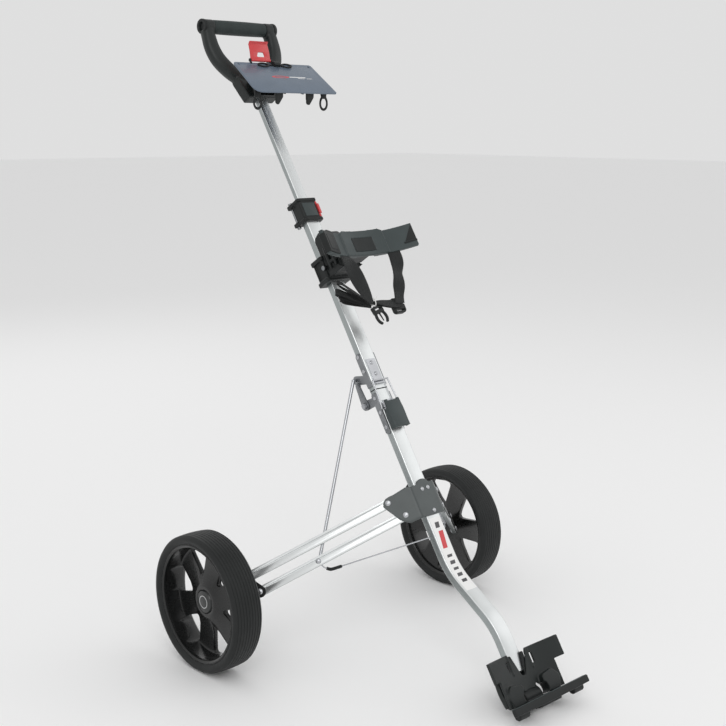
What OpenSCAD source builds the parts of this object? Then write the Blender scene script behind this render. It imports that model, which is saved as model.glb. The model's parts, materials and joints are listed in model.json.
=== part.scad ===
// Folding two-wheel golf trolley: leaning tube, telescopic handle, bag cradle, toe bracket, swing-out wheel legs.
// Millimetres, +Z up, -Y is the toe side, X = 0 is the plane of symmetry, the wheels stand on Z = 0.

/* [Stance] */
// Lean of the main tube back from vertical, degrees
lean = 33; // [32:0.5:34]
// Wheel axle behind the point where the tube line meets the floor
axle_back = 423; // [420:1:426]
// Centre of each wheel from the plane of symmetry
half_track = 314; // [313:1:320]

/* [Tubes] */
// Width of the main tube across
tube_w = 32; // [31:0.5:32]
// Depth of the main tube front to back
tube_d = 16; // [15:0.5:16]
// Wall of the tubes
tube_wall = 1.5; // [1.2:0.1:1.7]
// Height along the tube where the two halves meet
split_s = 575; // [573:1:577]
// Top end of the middle tube
mid_top_s = 962; // [955:1:965]
// Width of the telescopic tube
slide_w = 24; // [22:0.5:25]
// Depth of the telescopic tube
slide_d = 11; // [10:0.5:11]
// Lower end of the telescopic tube at rest
slide_low_s = 880; // [870:1:890]
// Start of the S bend, measured along the tube
bend_top_s = 251; // [248:1:253]
// Angle of the S bend
bend_angle = 25; // [24:0.5:26]
// Radius of the S bend
bend_r = 130; // [125:1:135]
// Straight run between the two bends
bend_run = 69; // [66:1:72]

/* [Fold joint] */
// Hinge bolt, measured along the tube
hinge_s = 557.5; // [556:0.5:559]
// Hinge bolt behind the tube centre line
hinge_back = 28.5; // [28:0.5:30]
// Thickness of the hinge side plates
plate_t = 2; // [1.8:0.1:2]
// Hinge bolt diameter
hinge_bolt_d = 6; // [5:0.5:6]

/* [Latch] */
// Lever pin, measured along the tube
latch_s = 545; // [544:0.5:546]
// Lever pin in front of the tube centre line
latch_h = 14.5; // [14:0.5:15]
// Wire of the bail
bail_d = 3; // [2.5:0.1:3]
// Top bar of the bail, measured along the tube
bail_top_s = 590; // [589.5:0.5:591]
// Length of the lever cover
cover_len = 55; // [52:1:56]

/* [Legs] */
// Sweep of the leg plates back from sideways, degrees
sweep = 44.5; // [44:0.5:45]
// Lower leg pivot from the plane of symmetry
pivot_x = 42.5; // [42:0.5:43]
// Lower leg pivot, measured along the tube
pivot_s = 341.8; // [341:0.2:343]
// Length of each leg arm between pivots
arm_len = 291; // [290:0.5:292]
// Angle of the arms out from the tube, degrees
arm_spread = 84.5; // [84:0.5:85]
// Width of the arm bars
arm_w = 17; // [15:0.5:18]
// Thickness of the arm bars
arm_t = 7; // [6:0.5:7]
// Thickness of the leg bracket plate
bracket_t = 2.4; // [2:0.1:2.5]
// Push rod wire diameter
rod_d = 6; // [5:0.5:6]
// Push rod pivot along the lower arm
rod_at = 175; // [173:1:177]

/* [Wheels] */
// Wheel radius
wheel_r = 125; // [124:0.5:126]
// Tyre width
tyre_w = 60; // [56:1:60]
// Tyre thickness from rim to tread
tyre_t = 17; // [14:1:18]
// Number of wheel windows
window_count = 6; // [5:1:7]
// Turn of the left wheel at rest, degrees
left_phase = 51; // [0:1:59]
// Turn of the right wheel at rest, degrees
right_phase = 24; // [0:1:59]

/* [Bag cradle] */
// Cradle clamp lower end, measured along the tube
clamp_s = 797; // [790:1:800]
// Front face of the cradle band at its middle
band_h = 105; // [103:1:108]
// Reach of the band to each side
band_x = 110; // [106:1:112]
// Radius of the cradle band
band_r = 217; // [210:1:225]
// Height of the cradle band
band_s = 46; // [42:1:48]

/* [Handle] */
// Grip centre, measured along the tube
grip_s = 1353; // [1350:1:1356]
// Grip centre in front of the tube centre line
grip_h = 16; // [14:0.5:18]
// Grip diameter
grip_d = 27; // [25:0.5:28]
// Half of the grip length
grip_x = 80; // [78:0.5:82]
// Score card plate width
card_w = 192; // [184:1:196]
// Score card plate length
card_l = 94; // [90:1:96]

/* [Foot] */
// Lower end of the tube
tube_end_s = 24; // [20:1:28]
// Toe bar front face in front of the tube line
toe_h = 112; // [108:1:114]
// Half of the toe bar length
toe_x = 96; // [92:1:98]

/* [Hidden] */
$fn = 48;
hub_s = axle_back * sin(lean) + wheel_r * cos(lean);
hub_back = axle_back * cos(lean) - wheel_r * sin(lean);
toe_low_s = -36;
heel_r = 14;
cap_r = grip_d / 2 + 1;
front_y = toe_low_s * sin(lean) - toe_h * cos(lean);
rear_y = grip_s * sin(lean) - grip_h * cos(lean) + cap_r;
foot_y = -(front_y + rear_y) / 2;
bend_h = 2 * bend_r * (1 - cos(bend_angle)) + bend_run * sin(bend_angle);
bend_low_s = bend_top_s - 2 * bend_r * sin(bend_angle) - bend_run * cos(bend_angle);
ca = cos(sweep);
sa = sin(sweep);
pivot_back = 12.1;
upper_u = 21.5;
upper_v = 31;
arm_u = arm_len * sin(arm_spread);
arm_v = -arm_len * cos(arm_spread);
fit = 0.05;
side_in = tube_w / 2 + 0.1;
steel = [0.62, 0.63, 0.64];
alu = [0.83, 0.85, 0.86];
black = [0.12, 0.13, 0.13];
grey = [0.30, 0.33, 0.33];
red = [0.75, 0.12, 0.12];

// frames
module on_tube() {
  translate([0, foot_y, 0])
  rotate([-lean, 0, 0])
  children();
}

module both() {
  children();
  mirror([1, 0, 0])
  children();
}

module across(x0, t) {
  translate([x0, 0, 0])
  rotate([90, 0, 90])
  linear_extrude(t)
  children();
}

module pin_x(x0, x1, d) {
  translate([x0, 0, 0])
  rotate([0, 90, 0])
  cylinder(d = d, h = x1 - x0);
}

// leg plane of the left leg: local X along the swept wing, local Y up the tube, local Z towards the rear
module wing() {
  multmatrix([[-ca, 0, sa, -pivot_x],
              [sa, 0, ca, pivot_back],
              [0, 1, 0, pivot_s],
              [0, 0, 0, 1]])
  children();
}

module left_leg() {
  on_tube()
  wing()
  children();
}

module leg(side) {
  mirror([side > 0 ? 1 : 0, 0, 0])
  left_leg()
  children();
}

// profiles
module rounded(w, d, r) {
  hull()
  for (i = [-1, 1], j = [-1, 1])
    translate([i * (w / 2 - r), j * (d / 2 - r)])
    circle(r = r, $fn = 16);
}

module ring_profile(w, d, wall, r) {
  difference() {
    rounded(w, d, r);
    rounded(w - 2 * wall, d - 2 * wall, max(r - wall, 0.4));
  }
}

module slot2d(l, w) {
  hull()
  for (i = [-1, 1])
    translate([i * (l - w) / 2, 0])
    circle(d = w, $fn = 32);
}

module dome(d, h) {
  rotate_extrude()
  polygon([[0, 0], [d / 2, 0], [d / 2, h * 0.35], [d * 0.36, h * 0.8], [d * 0.16, h], [0, h]]);
}

// ---- lower tube group
module side_rivet_holes(list) {
  for (s = list)
    translate([0, 0, s])
    pin_x(-tube_w, tube_w, 4.1);
}

// centre line of the bent tube seen from the side: [back, up, direction in degrees]
bend_steps = 12;
mid_back = -bend_r * (1 - cos(bend_angle)) - bend_run * sin(bend_angle);
mid_up = bend_top_s - bend_r * sin(bend_angle) - bend_run * cos(bend_angle);
upper_bend = [for (i = [0 : bend_steps])
  let (a = bend_angle * i / bend_steps)
  [-bend_r * (1 - cos(a)), bend_top_s - bend_r * sin(a), a]];
lower_bend = [for (i = [0 : bend_steps])
  let (a = bend_angle * (1 - i / bend_steps))
  [mid_back - bend_r * (cos(a) - cos(bend_angle)), mid_up - bend_r * (sin(bend_angle) - sin(a)), a]];
bent_line = concat([[0, split_s - 1, 0]], upper_bend, lower_bend, [[-bend_h, tube_end_s, 0]]);

// the bent line thickened to a strip, with both ends carried on by more
module bent_strip(d, more) {
  last = len(bent_line) - 1;
  polygon(concat(
    [for (i = [0 : last])
      let (q = bent_line[i], e = i == 0 ? more : i == last ? -more : 0)
      [q[0] + d / 2 * cos(q[2]), q[1] - d / 2 * sin(q[2]) + e]],
    [for (i = [last : -1 : 0])
      let (q = bent_line[i], e = i == 0 ? more : i == last ? -more : 0)
      [q[0] - d / 2 * cos(q[2]), q[1] + d / 2 * sin(q[2]) + e]]));
}

module lower_tube_body() {
  difference() {
    across(-tube_w / 2, tube_w)
    bent_strip(tube_d, 0);
    across(-tube_w / 2 + tube_wall, tube_w - 2 * tube_wall)
    bent_strip(tube_d - 2 * tube_wall, 5);
  }
}

module lower_tube() {
  color(alu)
  on_tube()
  difference() {
    lower_tube_body();
    side_rivet_holes([503, 532, 560]);
    for (p = [[-3, 375.7], [14, 376.2], [5, 333.5]])
      translate([min(p[0], tube_w / 2 - 4.5), 0, p[1]])
      rotate([90, 0, 0])
      cylinder(d = 4.1, h = tube_d);
    for (s = [508, 532])
      translate([0, 0, s])
      rotate([90, 0, 0])
      cylinder(d = 4.1, h = tube_d);
    translate([0, -bend_h, 40])
    pin_x(-tube_w, tube_w, 5.1);
  }
}

module tube_plug(s, up) {
  translate([0, 0, s])
  mirror([0, 0, up ? 0 : 1]) {
    linear_extrude(0.7)
    rounded(tube_w, tube_d, 2.5);
    translate([0, 0, -9])
    linear_extrude(9.1)
    rounded(tube_w - 2 * tube_wall - 0.1, tube_d - 2 * tube_wall - 0.1, 1);
  }
}

module lower_plug() {
  color(black)
  on_tube()
  tube_plug(split_s - 1, true);
}

module lower_plate_2d() {
  translate([0, 530])
  square([13, 68], center = true);
  translate([0, 496])
  circle(d = 13);
  translate([0, 564])
  circle(d = 13);
  hull() {
    translate([hinge_back, hinge_s])
    circle(r = 9);
    translate([2, 555])
    circle(r = 8);
  }
}

module lower_plates() {
  color(steel)
  on_tube()
  both()
  difference() {
    across(side_in, plate_t)
    lower_plate_2d();
    side_rivet_holes([503, 532, 560]);
    translate([0, hinge_back, hinge_s])
    pin_x(-30, 30, hinge_bolt_d + 2 * fit);
  }
}

module side_rivet(s) {
  translate([side_in + plate_t, 0, s])
  rotate([0, 90, 0])
  dome(7.5, 2);
  translate([0, 0, s])
  pin_x(tube_w / 2 - tube_wall - 1.5, side_in + plate_t + 0.1, 4);
  translate([0, 0, s])
  pin_x(tube_w / 2 - tube_wall - 1.6, tube_w / 2 - tube_wall - 0.05, 5.5);
}

module front_rivet(x, s, base) {
  translate([x, -base, s])
  rotate([90, 0, 0])
  dome(7.5, 2);
  translate([x, -base - 0.1, s])
  rotate([-90, 0, 0])
  cylinder(d = 4, h = base + 0.1 - tube_d / 2 + tube_wall + 1.5);
  translate([x, -tube_d / 2 + tube_wall + 0.05, s])
  rotate([-90, 0, 0])
  cylinder(d = 5.5, h = 1.6);
}

module base_rivets() {
  color(steel)
  on_tube() {
    both()
    for (s = [503, 532, 560])
      side_rivet(s);
    for (p = [[-3, 375.7], [14, 376.2], [5, 333.5]])
      front_rivet(min(p[0], tube_w / 2 - 4.5), p[1], tube_d / 2 + 0.1 + bracket_t);
    for (s = [508, 532])
      front_rivet(0, s, tube_d / 2 + 0.1 + 1.6);
  }
}

module hinge_bolt() {
  color(steel)
  on_tube()
  translate([0, hinge_back, hinge_s]) {
    pin_x(-25, 25, hinge_bolt_d);
    pin_x(-15.9, 15.9, hinge_bolt_d + 3);
    translate([21, 0, 0])
    rotate([0, 90, 0])
    dome(12, 3.5);
    translate([-21, 0, 0])
    rotate([0, -90, 0])
    cylinder(d = 11.5, h = 4, $fn = 6);
  }
}

module wing_outline() {
  difference() {
    hull() {
      translate([upper_u, upper_v])
      circle(r = 10.5);
      translate([-3, -3])
      circle(r = 15);
      translate([-25.4, -14])
      square([1, 61]);
    }
    circle(d = 6.1);
    translate([upper_u, upper_v])
    circle(d = 6.1);
  }
}

module leg_bracket() {
  color(grey)
  on_tube() {
    difference() {
      union() {
        translate([0, -tube_d / 2 - 0.1, 0])
        rotate([90, 0, 0])
        linear_extrude(bracket_t) {
          translate([-28.2, 327.8])
          square([56.4, 61]);
          translate([3, 382])
          circle(r = 12);
        }
        both()
        wing()
        translate([0, 0, -arm_t / 2 - 0.3 - bracket_t])
        linear_extrude(bracket_t)
        wing_outline();
      }
      for (p = [[-3, 375.7], [14, 376.2], [5, 333.5]])
        translate([min(p[0], tube_w / 2 - 4.5), 0, p[1]])
        rotate([90, 0, 0])
        cylinder(d = 4.1, h = 20);
    }
  }
}

module pivot_pin() {
  translate([0, 0, -arm_t / 2 - 0.3 - bracket_t])
  mirror([0, 0, 1])
  dome(10, 2.4);
  translate([0, 0, -arm_t / 2 - 0.4 - bracket_t])
  cylinder(d = 6, h = arm_t + bracket_t + 2.2);
  translate([0, 0, arm_t / 2 + 0.3])
  cylinder(d = 10, h = 1.6);
}

module leg_pins() {
  color(steel)
  for (side = [-1, 1])
    leg(side) {
      pivot_pin();
      translate([upper_u, upper_v, 0])
      pivot_pin();
    }
}

module latch_base() {
  color(steel)
  on_tube()
  difference() {
    union() {
      translate([0, -tube_d / 2 - 0.1, 527])
      rotate([90, 0, 0])
      linear_extrude(1.6)
      square([22, 50], center = true);
      both()
      translate([9.4, 0, 0])
      across(0, 1.6)
      hull() {
        translate([-latch_h, latch_s])
        circle(r = 3.6);
        translate([-tube_d / 2 - 1.5, latch_s - 7])
        square([1.4, 14]);
      }
    }
    for (s = [508, 532])
      translate([0, 0, s])
      rotate([90, 0, 0])
      cylinder(d = 4.1, h = 20);
    translate([0, -latch_h, latch_s])
    pin_x(-20, 20, 4.1);
  }
}

module latch_pin() {
  color(steel)
  on_tube()
  translate([0, -latch_h, latch_s]) {
    pin_x(-13.6, 13.6, 4);
    pin_x(13.4, 14.6, 6.5);
    pin_x(-14.6, -13.4, 6.5);
  }
}

// foot bracket, drawn in the tube frame
module foot_arc(r_in, r_out, half) {
  centre = bend_h + 14 + 208;
  translate([0, -centre])
  difference() {
    intersection() {
      circle(r = r_out, $fn = 180);
      translate([-half, 0])
      square([2 * half, r_out + 1]);
    }
    circle(r = r_in, $fn = 180);
  }
}

// rounded heel under the socket, standing on the floor
module heel(gap) {
  back = 58;
  low = (heel_r - back * sin(lean)) / cos(lean);
  translate([0, -back, low])
  pin_x(-20 - gap, 20 + gap, 2 * (heel_r + gap));
}

module foot_base() {
  color(black)
  on_tube()
  difference() {
    union() {
      translate([0, -bend_h, 0]) {
        translate([0, 0, -18])
        linear_extrude(72)
        rounded(tube_w + 9, tube_d + 9, 4);
      }
      heel(0);
      translate([0, -bend_h, toe_low_s])
      linear_extrude(10)
      polygon([[-24, -3.2], [24, -3.2], [52, -18], [64, -(toe_h - bend_h) + 2], [-64, -(toe_h - bend_h) + 2], [-52, -18]]);
      translate([-toe_x, -toe_h, toe_low_s])
      cube([2 * toe_x, 11, 12]);
      both()
      translate([60, -toe_h + 8, toe_low_s - 8])
      cube([20, 12, 9]);
    }
    translate([0, -bend_h, tube_end_s])
    linear_extrude(90)
    square([tube_w + 0.2, tube_d + 0.2], center = true);
    translate([0, -bend_h - 34, toe_low_s - 1])
    linear_extrude(14)
    rounded(56, 22, 6);
    translate([0, -bend_h, 40])
    pin_x(-40, 40, 5.1);
  }
}

module foot_saddle() {
  color(black)
  on_tube()
  difference() {
    union() {
      translate([0, 0, 20])
      linear_extrude(37)
      foot_arc(208, 213, 89);
      translate([0, 0, toe_low_s + 10.2])
      linear_extrude(47)
      foot_arc(208, 213, 70);
    }
    translate([0, -bend_h, -60])
    linear_extrude(120)
    rounded(tube_w + 9.6, tube_d + 9.6, 4.2);
    heel(0.4);
    for (k = [-1, 1])
      translate([k * 30, -60, 36])
      rotate([90, 0, 0])
      linear_extrude(60)
      rounded(6, 22, 2.9);
  }
}

module foot_bolt() {
  color(steel)
  on_tube()
  translate([0, -bend_h, 40]) {
    pin_x(-22, 22, 5);
    translate([(tube_w + 9) / 2, 0, 0])
    rotate([0, 90, 0])
    dome(9, 3);
    translate([-(tube_w + 9) / 2, 0, 0])
    rotate([0, -90, 0])
    cylinder(d = 9.5, h = 4, $fn = 6);
  }
}

// ---- upper tube group
module mid_tube() {
  color(alu)
  on_tube()
  difference() {
    translate([0, 0, split_s + 1])
    linear_extrude(mid_top_s - split_s - 1)
    ring_profile(tube_w, tube_d, tube_wall, 2.5);
    side_rivet_holes([614, 643]);
    for (s = [604, 626])
      translate([0, 0, s])
      rotate([90, 0, 0])
      cylinder(d = 4.1, h = tube_d);
  }
}

module mid_plug() {
  color(black)
  on_tube()
  tube_plug(split_s + 1, false);
}

module upper_plate() {
  difference() {
    union() {
      across(side_in, plate_t) {
        translate([0, 613])
        square([13, 62], center = true);
        translate([0, 643])
        circle(d = 13);
        hull() {
          translate([28, 608])
          circle(r = 8.5);
          translate([2, 598])
          circle(r = 8);
        }
      }
      across(side_in + plate_t + 0.3, plate_t)
      hull() {
        translate([28.2, 597])
        circle(r = 5.5);
        translate([hinge_back, hinge_s])
        circle(r = 9);
      }
      translate([0, 28.2, 597])
      pin_x(side_in + 0.2, side_in + plate_t + 1, 10);
      translate([0, 28, 609])
      pin_x(side_in + 0.2, 20.4, rod_d);
    }
    side_rivet_holes([614, 643]);
    translate([0, hinge_back, hinge_s])
    pin_x(-30, 30, hinge_bolt_d + 2 * fit);
  }
}

module upper_plates() {
  color(steel)
  on_tube()
  both()
  upper_plate();
}

module upper_rivets() {
  color(steel)
  on_tube() {
    both()
    for (s = [614, 643])
      side_rivet(s);
    for (s = [604, 626])
      front_rivet(0, s, tube_d / 2 + 0.1 + 1.6);
  }
}

module catch_plate() {
  color(steel)
  on_tube()
  difference() {
    union() {
      translate([0, -tube_d / 2 - 0.1, 609])
      rotate([90, 0, 0])
      linear_extrude(1.6)
      square([22, 50], center = true);
      translate([-11, -13.6, bail_top_s - 6.2])
      cube([22, 4.6, 1.6]);
    }
    for (s = [604, 626])
      translate([0, 0, s])
      rotate([90, 0, 0])
      cylinder(d = 4.1, h = 20);
  }
}

module collar_body() {
  color(black)
  on_tube()
  difference() {
    union() {
      translate([0, 0, 926])
      linear_extrude(44)
      rounded(tube_w + 9, tube_d + 9, 4);
      for (s = [924, 966])
        translate([0, 0, s])
        linear_extrude(5)
        rounded(tube_w + 15, tube_d + 14, 5);
      for (s = [924, 963])
        translate([-26, 8, s])
        cube([14, 14, 8]);
    }
    translate([0, 0, 900])
    linear_extrude(mid_top_s + 0.1 - 900)
    rounded(tube_w + 0.2, tube_d + 0.2, 2.6);
    linear_extrude(1000)
    rounded(slide_w + 0.2, slide_d + 0.2, 2.1);
    translate([tube_w / 2 + 2, -13, 931.5])
    cube([10, 26, 33]);
    translate([tube_w / 2 + 5.7, 9, 900])
    cylinder(d = 3.1, h = 90);
    translate([-19, 14.5, 900])
    cylinder(d = 4.6, h = 90);
  }
}

module collar_lever() {
  color(red)
  on_tube()
  difference() {
    union() {
      translate([tube_w / 2 + 5.7, 9, 932])
      cylinder(d = 6.5, h = 32);
      translate([tube_w / 2 + 3.2, -12, 932])
      cube([4.6, 21, 32]);
      translate([tube_w / 2 + 3.2, -13.6, 940])
      cube([5.4, 4, 16]);
    }
    translate([tube_w / 2 + 5.7, 9, 900])
    cylinder(d = 3.1, h = 90);
  }
}

module clamp_bolts() {
  color(steel)
  on_tube() {
    translate([tube_w / 2 + 5.7, 9, 924.5])
    cylinder(d = 3, h = 46);
    translate([-19, 14.5, 921.5])
    cylinder(d = 4.5, h = 53);
    for (s = [920.6, 971.1])
      translate([-19, 14.5, s])
      cylinder(d = 8, h = 3.3);
    translate([0, -16.5, clamp_s + 24]) {
      pin_x(-29, 29, 5);
      pin_x(-30.5, -27.05, 9);
      pin_x(27.05, 30.5, 9);
    }
  }
}

module cradle_clamp() {
  color(black)
  on_tube()
  difference() {
    union() {
      translate([0, -2, clamp_s])
      linear_extrude(48)
      rounded(54, 30, 4);
      translate([0, -2, clamp_s - 3])
      linear_extrude(8)
      rounded(60, 36, 5);
      translate([0, -40, clamp_s + 8])
      linear_extrude(52)
      rounded(44, 60, 5);
      translate([-30, -38, clamp_s + 16])
      cube([60, 6, 40]);
      translate([-30, -54, clamp_s + 16])
      cube([60, 6, 40]);
      translate([-20, -band_h + 3.4, clamp_s + 4])
      cube([40, 36, 36]);
      translate([-15, -30, clamp_s + 46])
      cube([30, 22, 34]);
    }
    translate([0, 0, clamp_s - 10])
    linear_extrude(120)
    rounded(tube_w + 0.2, tube_d + 0.2, 2.6);
    translate([0, -16.5, clamp_s + 24])
    pin_x(-50, 50, 5.1);
    for (k = [-1, 1])
      translate([k * 17, -46, clamp_s + 30])
      rotate([90, 0, 0])
      linear_extrude(11, center = true)
      square([5, 24], center = true);
  }
}

module band_arc(r_in, r_out, half) {
  translate([0, -band_h - band_r])
  difference() {
    intersection() {
      circle(r = r_out, $fn = 180);
      translate([-half, 0])
      square([2 * half, r_out + 1]);
    }
    circle(r = r_in, $fn = 180);
  }
}

module cradle_band() {
  color(grey)
  on_tube()
  difference() {
    union() {
      translate([0, 0, clamp_s])
      linear_extrude(band_s)
      band_arc(band_r - 0.2, band_r + 3, band_x);
      translate([0, 0, clamp_s + 2])
      linear_extrude(band_s + 2)
      band_arc(band_r - 3, band_r, 46);
      for (s = [0, band_s - 3])
        translate([0, 0, clamp_s + s])
        linear_extrude(3)
        band_arc(band_r, band_r + 8, band_x);
    }
    translate([0, 0, clamp_s - 1])
    linear_extrude(band_s + 2)
    translate([-23, -band_h + 2.9])
    square([46, 20]);
    translate([0, -band_h + 0.5, clamp_s + 22])
    rotate([90, 0, 0])
    linear_extrude(6)
    rounded(52.4, 28.4, 2);
    both()
    translate([46, 0, clamp_s + 6])
    linear_extrude(5)
    translate([0, -band_h - 60])
    square([33, 90]);
  }
}

module cradle_pad() {
  color(black)
  on_tube()
  translate([0, -band_h + 0.4, clamp_s + 22])
  rotate([90, 0, 0])
  linear_extrude(4.2)
  rounded(52, 28, 2);
}

// flat webbing between two points, w wide across and t thick front to back
module strip(p, q, w, t) {
  hull() {
    translate(p)
    cube([w, t, 0.5], center = true);
    translate(q)
    cube([w, t, 0.5], center = true);
  }
}

module strap_near() {
  color(black)
  on_tube()
  strip([-58, -112, clamp_s - 3], [-12, -82, clamp_s - 68], 28, 3);
}

module strap_far() {
  color(black)
  on_tube() {
    strip([62, -112, clamp_s - 3], [57, -80, clamp_s - 82], 28, 4);
    hull() {
      translate([57, -78, clamp_s - 84])
      cube([26, 5, 20], center = true);
      translate([12, -76, clamp_s - 80])
      cube([2, 5, 12], center = true);
    }
  }
}

module strap_bundle() {
  color(black)
  on_tube()
  hull() {
    translate([-44, -44, clamp_s - 30])
    cube([26, 24, 20], center = true);
    translate([-18, -64, clamp_s - 66])
    cube([10, 14, 14], center = true);
  }
}

module strap_tie() {
  color([0.9, 0.9, 0.9])
  on_tube()
  translate([0, -74, clamp_s - 80])
  rotate([0, 90, 0])
  difference() {
    cylinder(d = 24, h = 4, center = true);
    cylinder(d = 21, h = 6, center = true);
  }
}

module buckle_male() {
  color(black)
  on_tube()
  translate([8, -68, clamp_s - 104])
  rotate([0, -12, 0])
  rotate([90, 0, 0])
  linear_extrude(6, center = true)
  difference() {
    union() {
      square([24, 12], center = true);
      for (x = [-9, 0, 9])
        translate([x, x == 0 ? -12 : -15])
        square([x == 0 ? 3 : 4.5, 22], center = true);
    }
    translate([0, 2])
    square([17, 3], center = true);
  }
}

module buckle_female() {
  color(black)
  on_tube()
  translate([59, -66, clamp_s - 92])
  rotate([90, 0, 0])
  linear_extrude(9, center = true)
  difference() {
    rounded(30, 34, 4);
    translate([0, -11])
    square([20, 5], center = true);
  }
}

// ---- telescopic handle group
module handle_tube() {
  color(alu)
  on_tube()
  translate([0, 0, slide_low_s])
  linear_extrude(1262 - slide_low_s)
  ring_profile(slide_w, slide_d, tube_wall - 0.2, 2);
}

module handle_slider() {
  color(black)
  on_tube()
  translate([0, 0, slide_low_s - 20])
  difference() {
    linear_extrude(19.8)
    rounded(tube_w - 2 * tube_wall - 0.2, tube_d - 2 * tube_wall - 0.2, 1);
    translate([0, 0, -1])
    linear_extrude(30)
    rounded(14, 6, 1);
  }
}

module arm_outline() {
  polygon([[-36, 1197], [36, 1197], [41, 1224], [64, 1250], [84, 1282], [90, 1312], [88, grip_s],
           [62, grip_s], [60, 1324], [48, 1300], [30, 1284], [12, 1276], [-12, 1276], [-30, 1284],
           [-48, 1300], [-60, 1324], [-62, grip_s], [-88, grip_s], [-90, 1312], [-84, 1282],
           [-64, 1250], [-41, 1224]]);
}

// side view of the handle yoke
module arm_side(in) {
  offset(delta = -in)
  polygon([[11, 1190], [11, 1240], [6, 1300], [-4, grip_s + 1], [-27, grip_s + 1], [-16, 1300],
           [-12, 1240], [-12, 1190]]);
}

module handle_frame() {
  color(black)
  on_tube()
  difference() {
    union() {
      for (k = [[0, 2.5], [2.5, 0]])
        intersection() {
          translate([0, 40, 0])
          rotate([90, 0, 0])
          linear_extrude(80)
          offset(delta = -k[0])
          arm_outline();
          across(-100, 200)
          arm_side(k[1]);
        }
      both()
      translate([0, -grip_h, grip_s])
      pin_x(62, grip_x + 6, grip_d);
    }
    translate([0, 0, 1180])
    linear_extrude(82.2)
    rounded(slide_w + 0.1, slide_d + 0.1, 2);
    translate([0, -grip_h, grip_s])
    pin_x(-grip_x - 20, grip_x + 20, 15.1);
    translate([-61.9, -grip_h - 20, grip_s - 15])
    cube([123.8, 40, 30]);
    both()
    translate([0, -grip_h, grip_s])
    pin_x(grip_x + 6.04, grip_x + 20, 2 * cap_r + 0.2);
  }
}

module grip_sleeve() {
  color(grey)
  on_tube()
  translate([0, -grip_h, grip_s])
  difference() {
    pin_x(-61.5, 61.5, grip_d);
    pin_x(-70, 70, 15.1);
  }
}

module grip_core() {
  color(black)
  on_tube()
  translate([0, -grip_h, grip_s])
  difference() {
    union() {
      pin_x(-grip_x - 6, grip_x + 6, 15);
      both()
      pin_x(grip_x + 6.1, grip_x + 8.6, 2 * cap_r);
      both()
      pin_x(grip_x + 5.9, grip_x + 6.2, 15);
    }
    pin_x(-100, 100, 11);
  }
}

module on_card() {
  translate([0, -66, 1234])
  rotate([-21.2, 0, 0])
  children();
}

module scorecard_plate() {
  color([0.36, 0.40, 0.46])
  on_tube()
  on_card()
  translate([0, 0, -card_l])
  rotate([90, 0, 0])
  difference() {
    linear_extrude(3)
    polygon([[-card_w / 2 + 10, 0], [card_w / 2 - 6, 0], [card_w / 2, 6], [card_w / 2, card_l],
             [-card_w / 2, card_l], [-card_w / 2, 10]]);
    for (x = [-1, 1])
      translate([x * (card_w / 2 - 9), card_l - 6, -1])
      cylinder(d = 5, h = 6);
  }
}

// point of the card plate's own side view, carried to the side view of the tube
function card_point(y, z) = [-66 + y * cos(21.2) + z * sin(21.2), 1234 - y * sin(21.2) + z * cos(21.2)];

module plate_bracket() {
  top = [[-12.6, 1198], [-12.6, 1232], [-56, 1232], card_point(0.2, -3), card_point(0.2, 8 - card_l)];
  color(black)
  on_tube() {
    both()
    across(20, 4)
    polygon(concat(top, [card_point(7, 8 - card_l), card_point(16, -60), [-60, 1198]]));
    across(-21, 42)
    polygon([[-12.6, 1224], [-12.6, 1232], [-56, 1232], card_point(0.2, -3), card_point(0.2, 8 - card_l),
             card_point(4, 8 - card_l), card_point(5, -10), [-58, 1226]]);
    across(-21, 42)
    polygon([[-12.6, 1198], [-12.6, 1230], [-18, 1230], [-18, 1198]]);
  }
}

module under_card() {
  difference() {
    children();
    on_card()
    translate([-150, -60, -200])
    cube([300, 60.1, 300]);
  }
}

module tee_holders() {
  color(black)
  on_tube()
  under_card()
  both() {
    translate([80.7, -78, 1142])
    rotate([lean + 90, 0, 0])
    difference() {
      linear_extrude(4)
      union() {
        scale([1, 1.25])
        circle(r = 10);
        translate([-8, 4])
        square([16, 24]);
      }
      translate([0, 0, -1])
      linear_extrude(6)
      scale([1, 1.25])
      circle(r = 6);
    }
    translate([37.5, -84, 1140])
    rotate([lean + 90, 0, 0])
    linear_extrude(4)
    polygon([[-9, 24], [9, 24], [8, 2], [-3, -7], [-7, -5]]);
  }
}

clip_y = -6.4;
clip_z = 3.6;
clip_low = -51.5;
clip_high = -5.5;

module card_clip_base() {
  color(black)
  on_tube()
  on_card() {
    translate([-4, -9.2, -12])
    cube([15, 6.1, 11]);
    both()
    translate([30, -4.2, -8])
    rotate([90, 0, 0])
    difference() {
      union() {
        translate([0, 0, -1.1])
        linear_extrude(2.4)
        scale([1.7, 1])
        circle(r = 6, $fn = 32);
        translate([-20, -2, -1.1])
        cube([11, 4, 2.4]);
      }
      translate([0, 0, -2])
      linear_extrude(5)
      scale([1.7, 1])
      circle(r = 3.6, $fn = 32);
    }
    for (x = [clip_low - 3.4, clip_high + 0.4])
      difference() {
        hull() {
          translate([x, clip_y, clip_z])
          pin_x(0, 3, 6);
          translate([x, -3.1 - 1, -4])
          cube([3, 1, 9]);
        }
        translate([0, clip_y, clip_z])
        pin_x(-60, 10, 3.1);
      }
    translate([0, clip_y, clip_z])
    pin_x(clip_low - 3.4, clip_high + 3.4, 3);
  }
}

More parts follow.
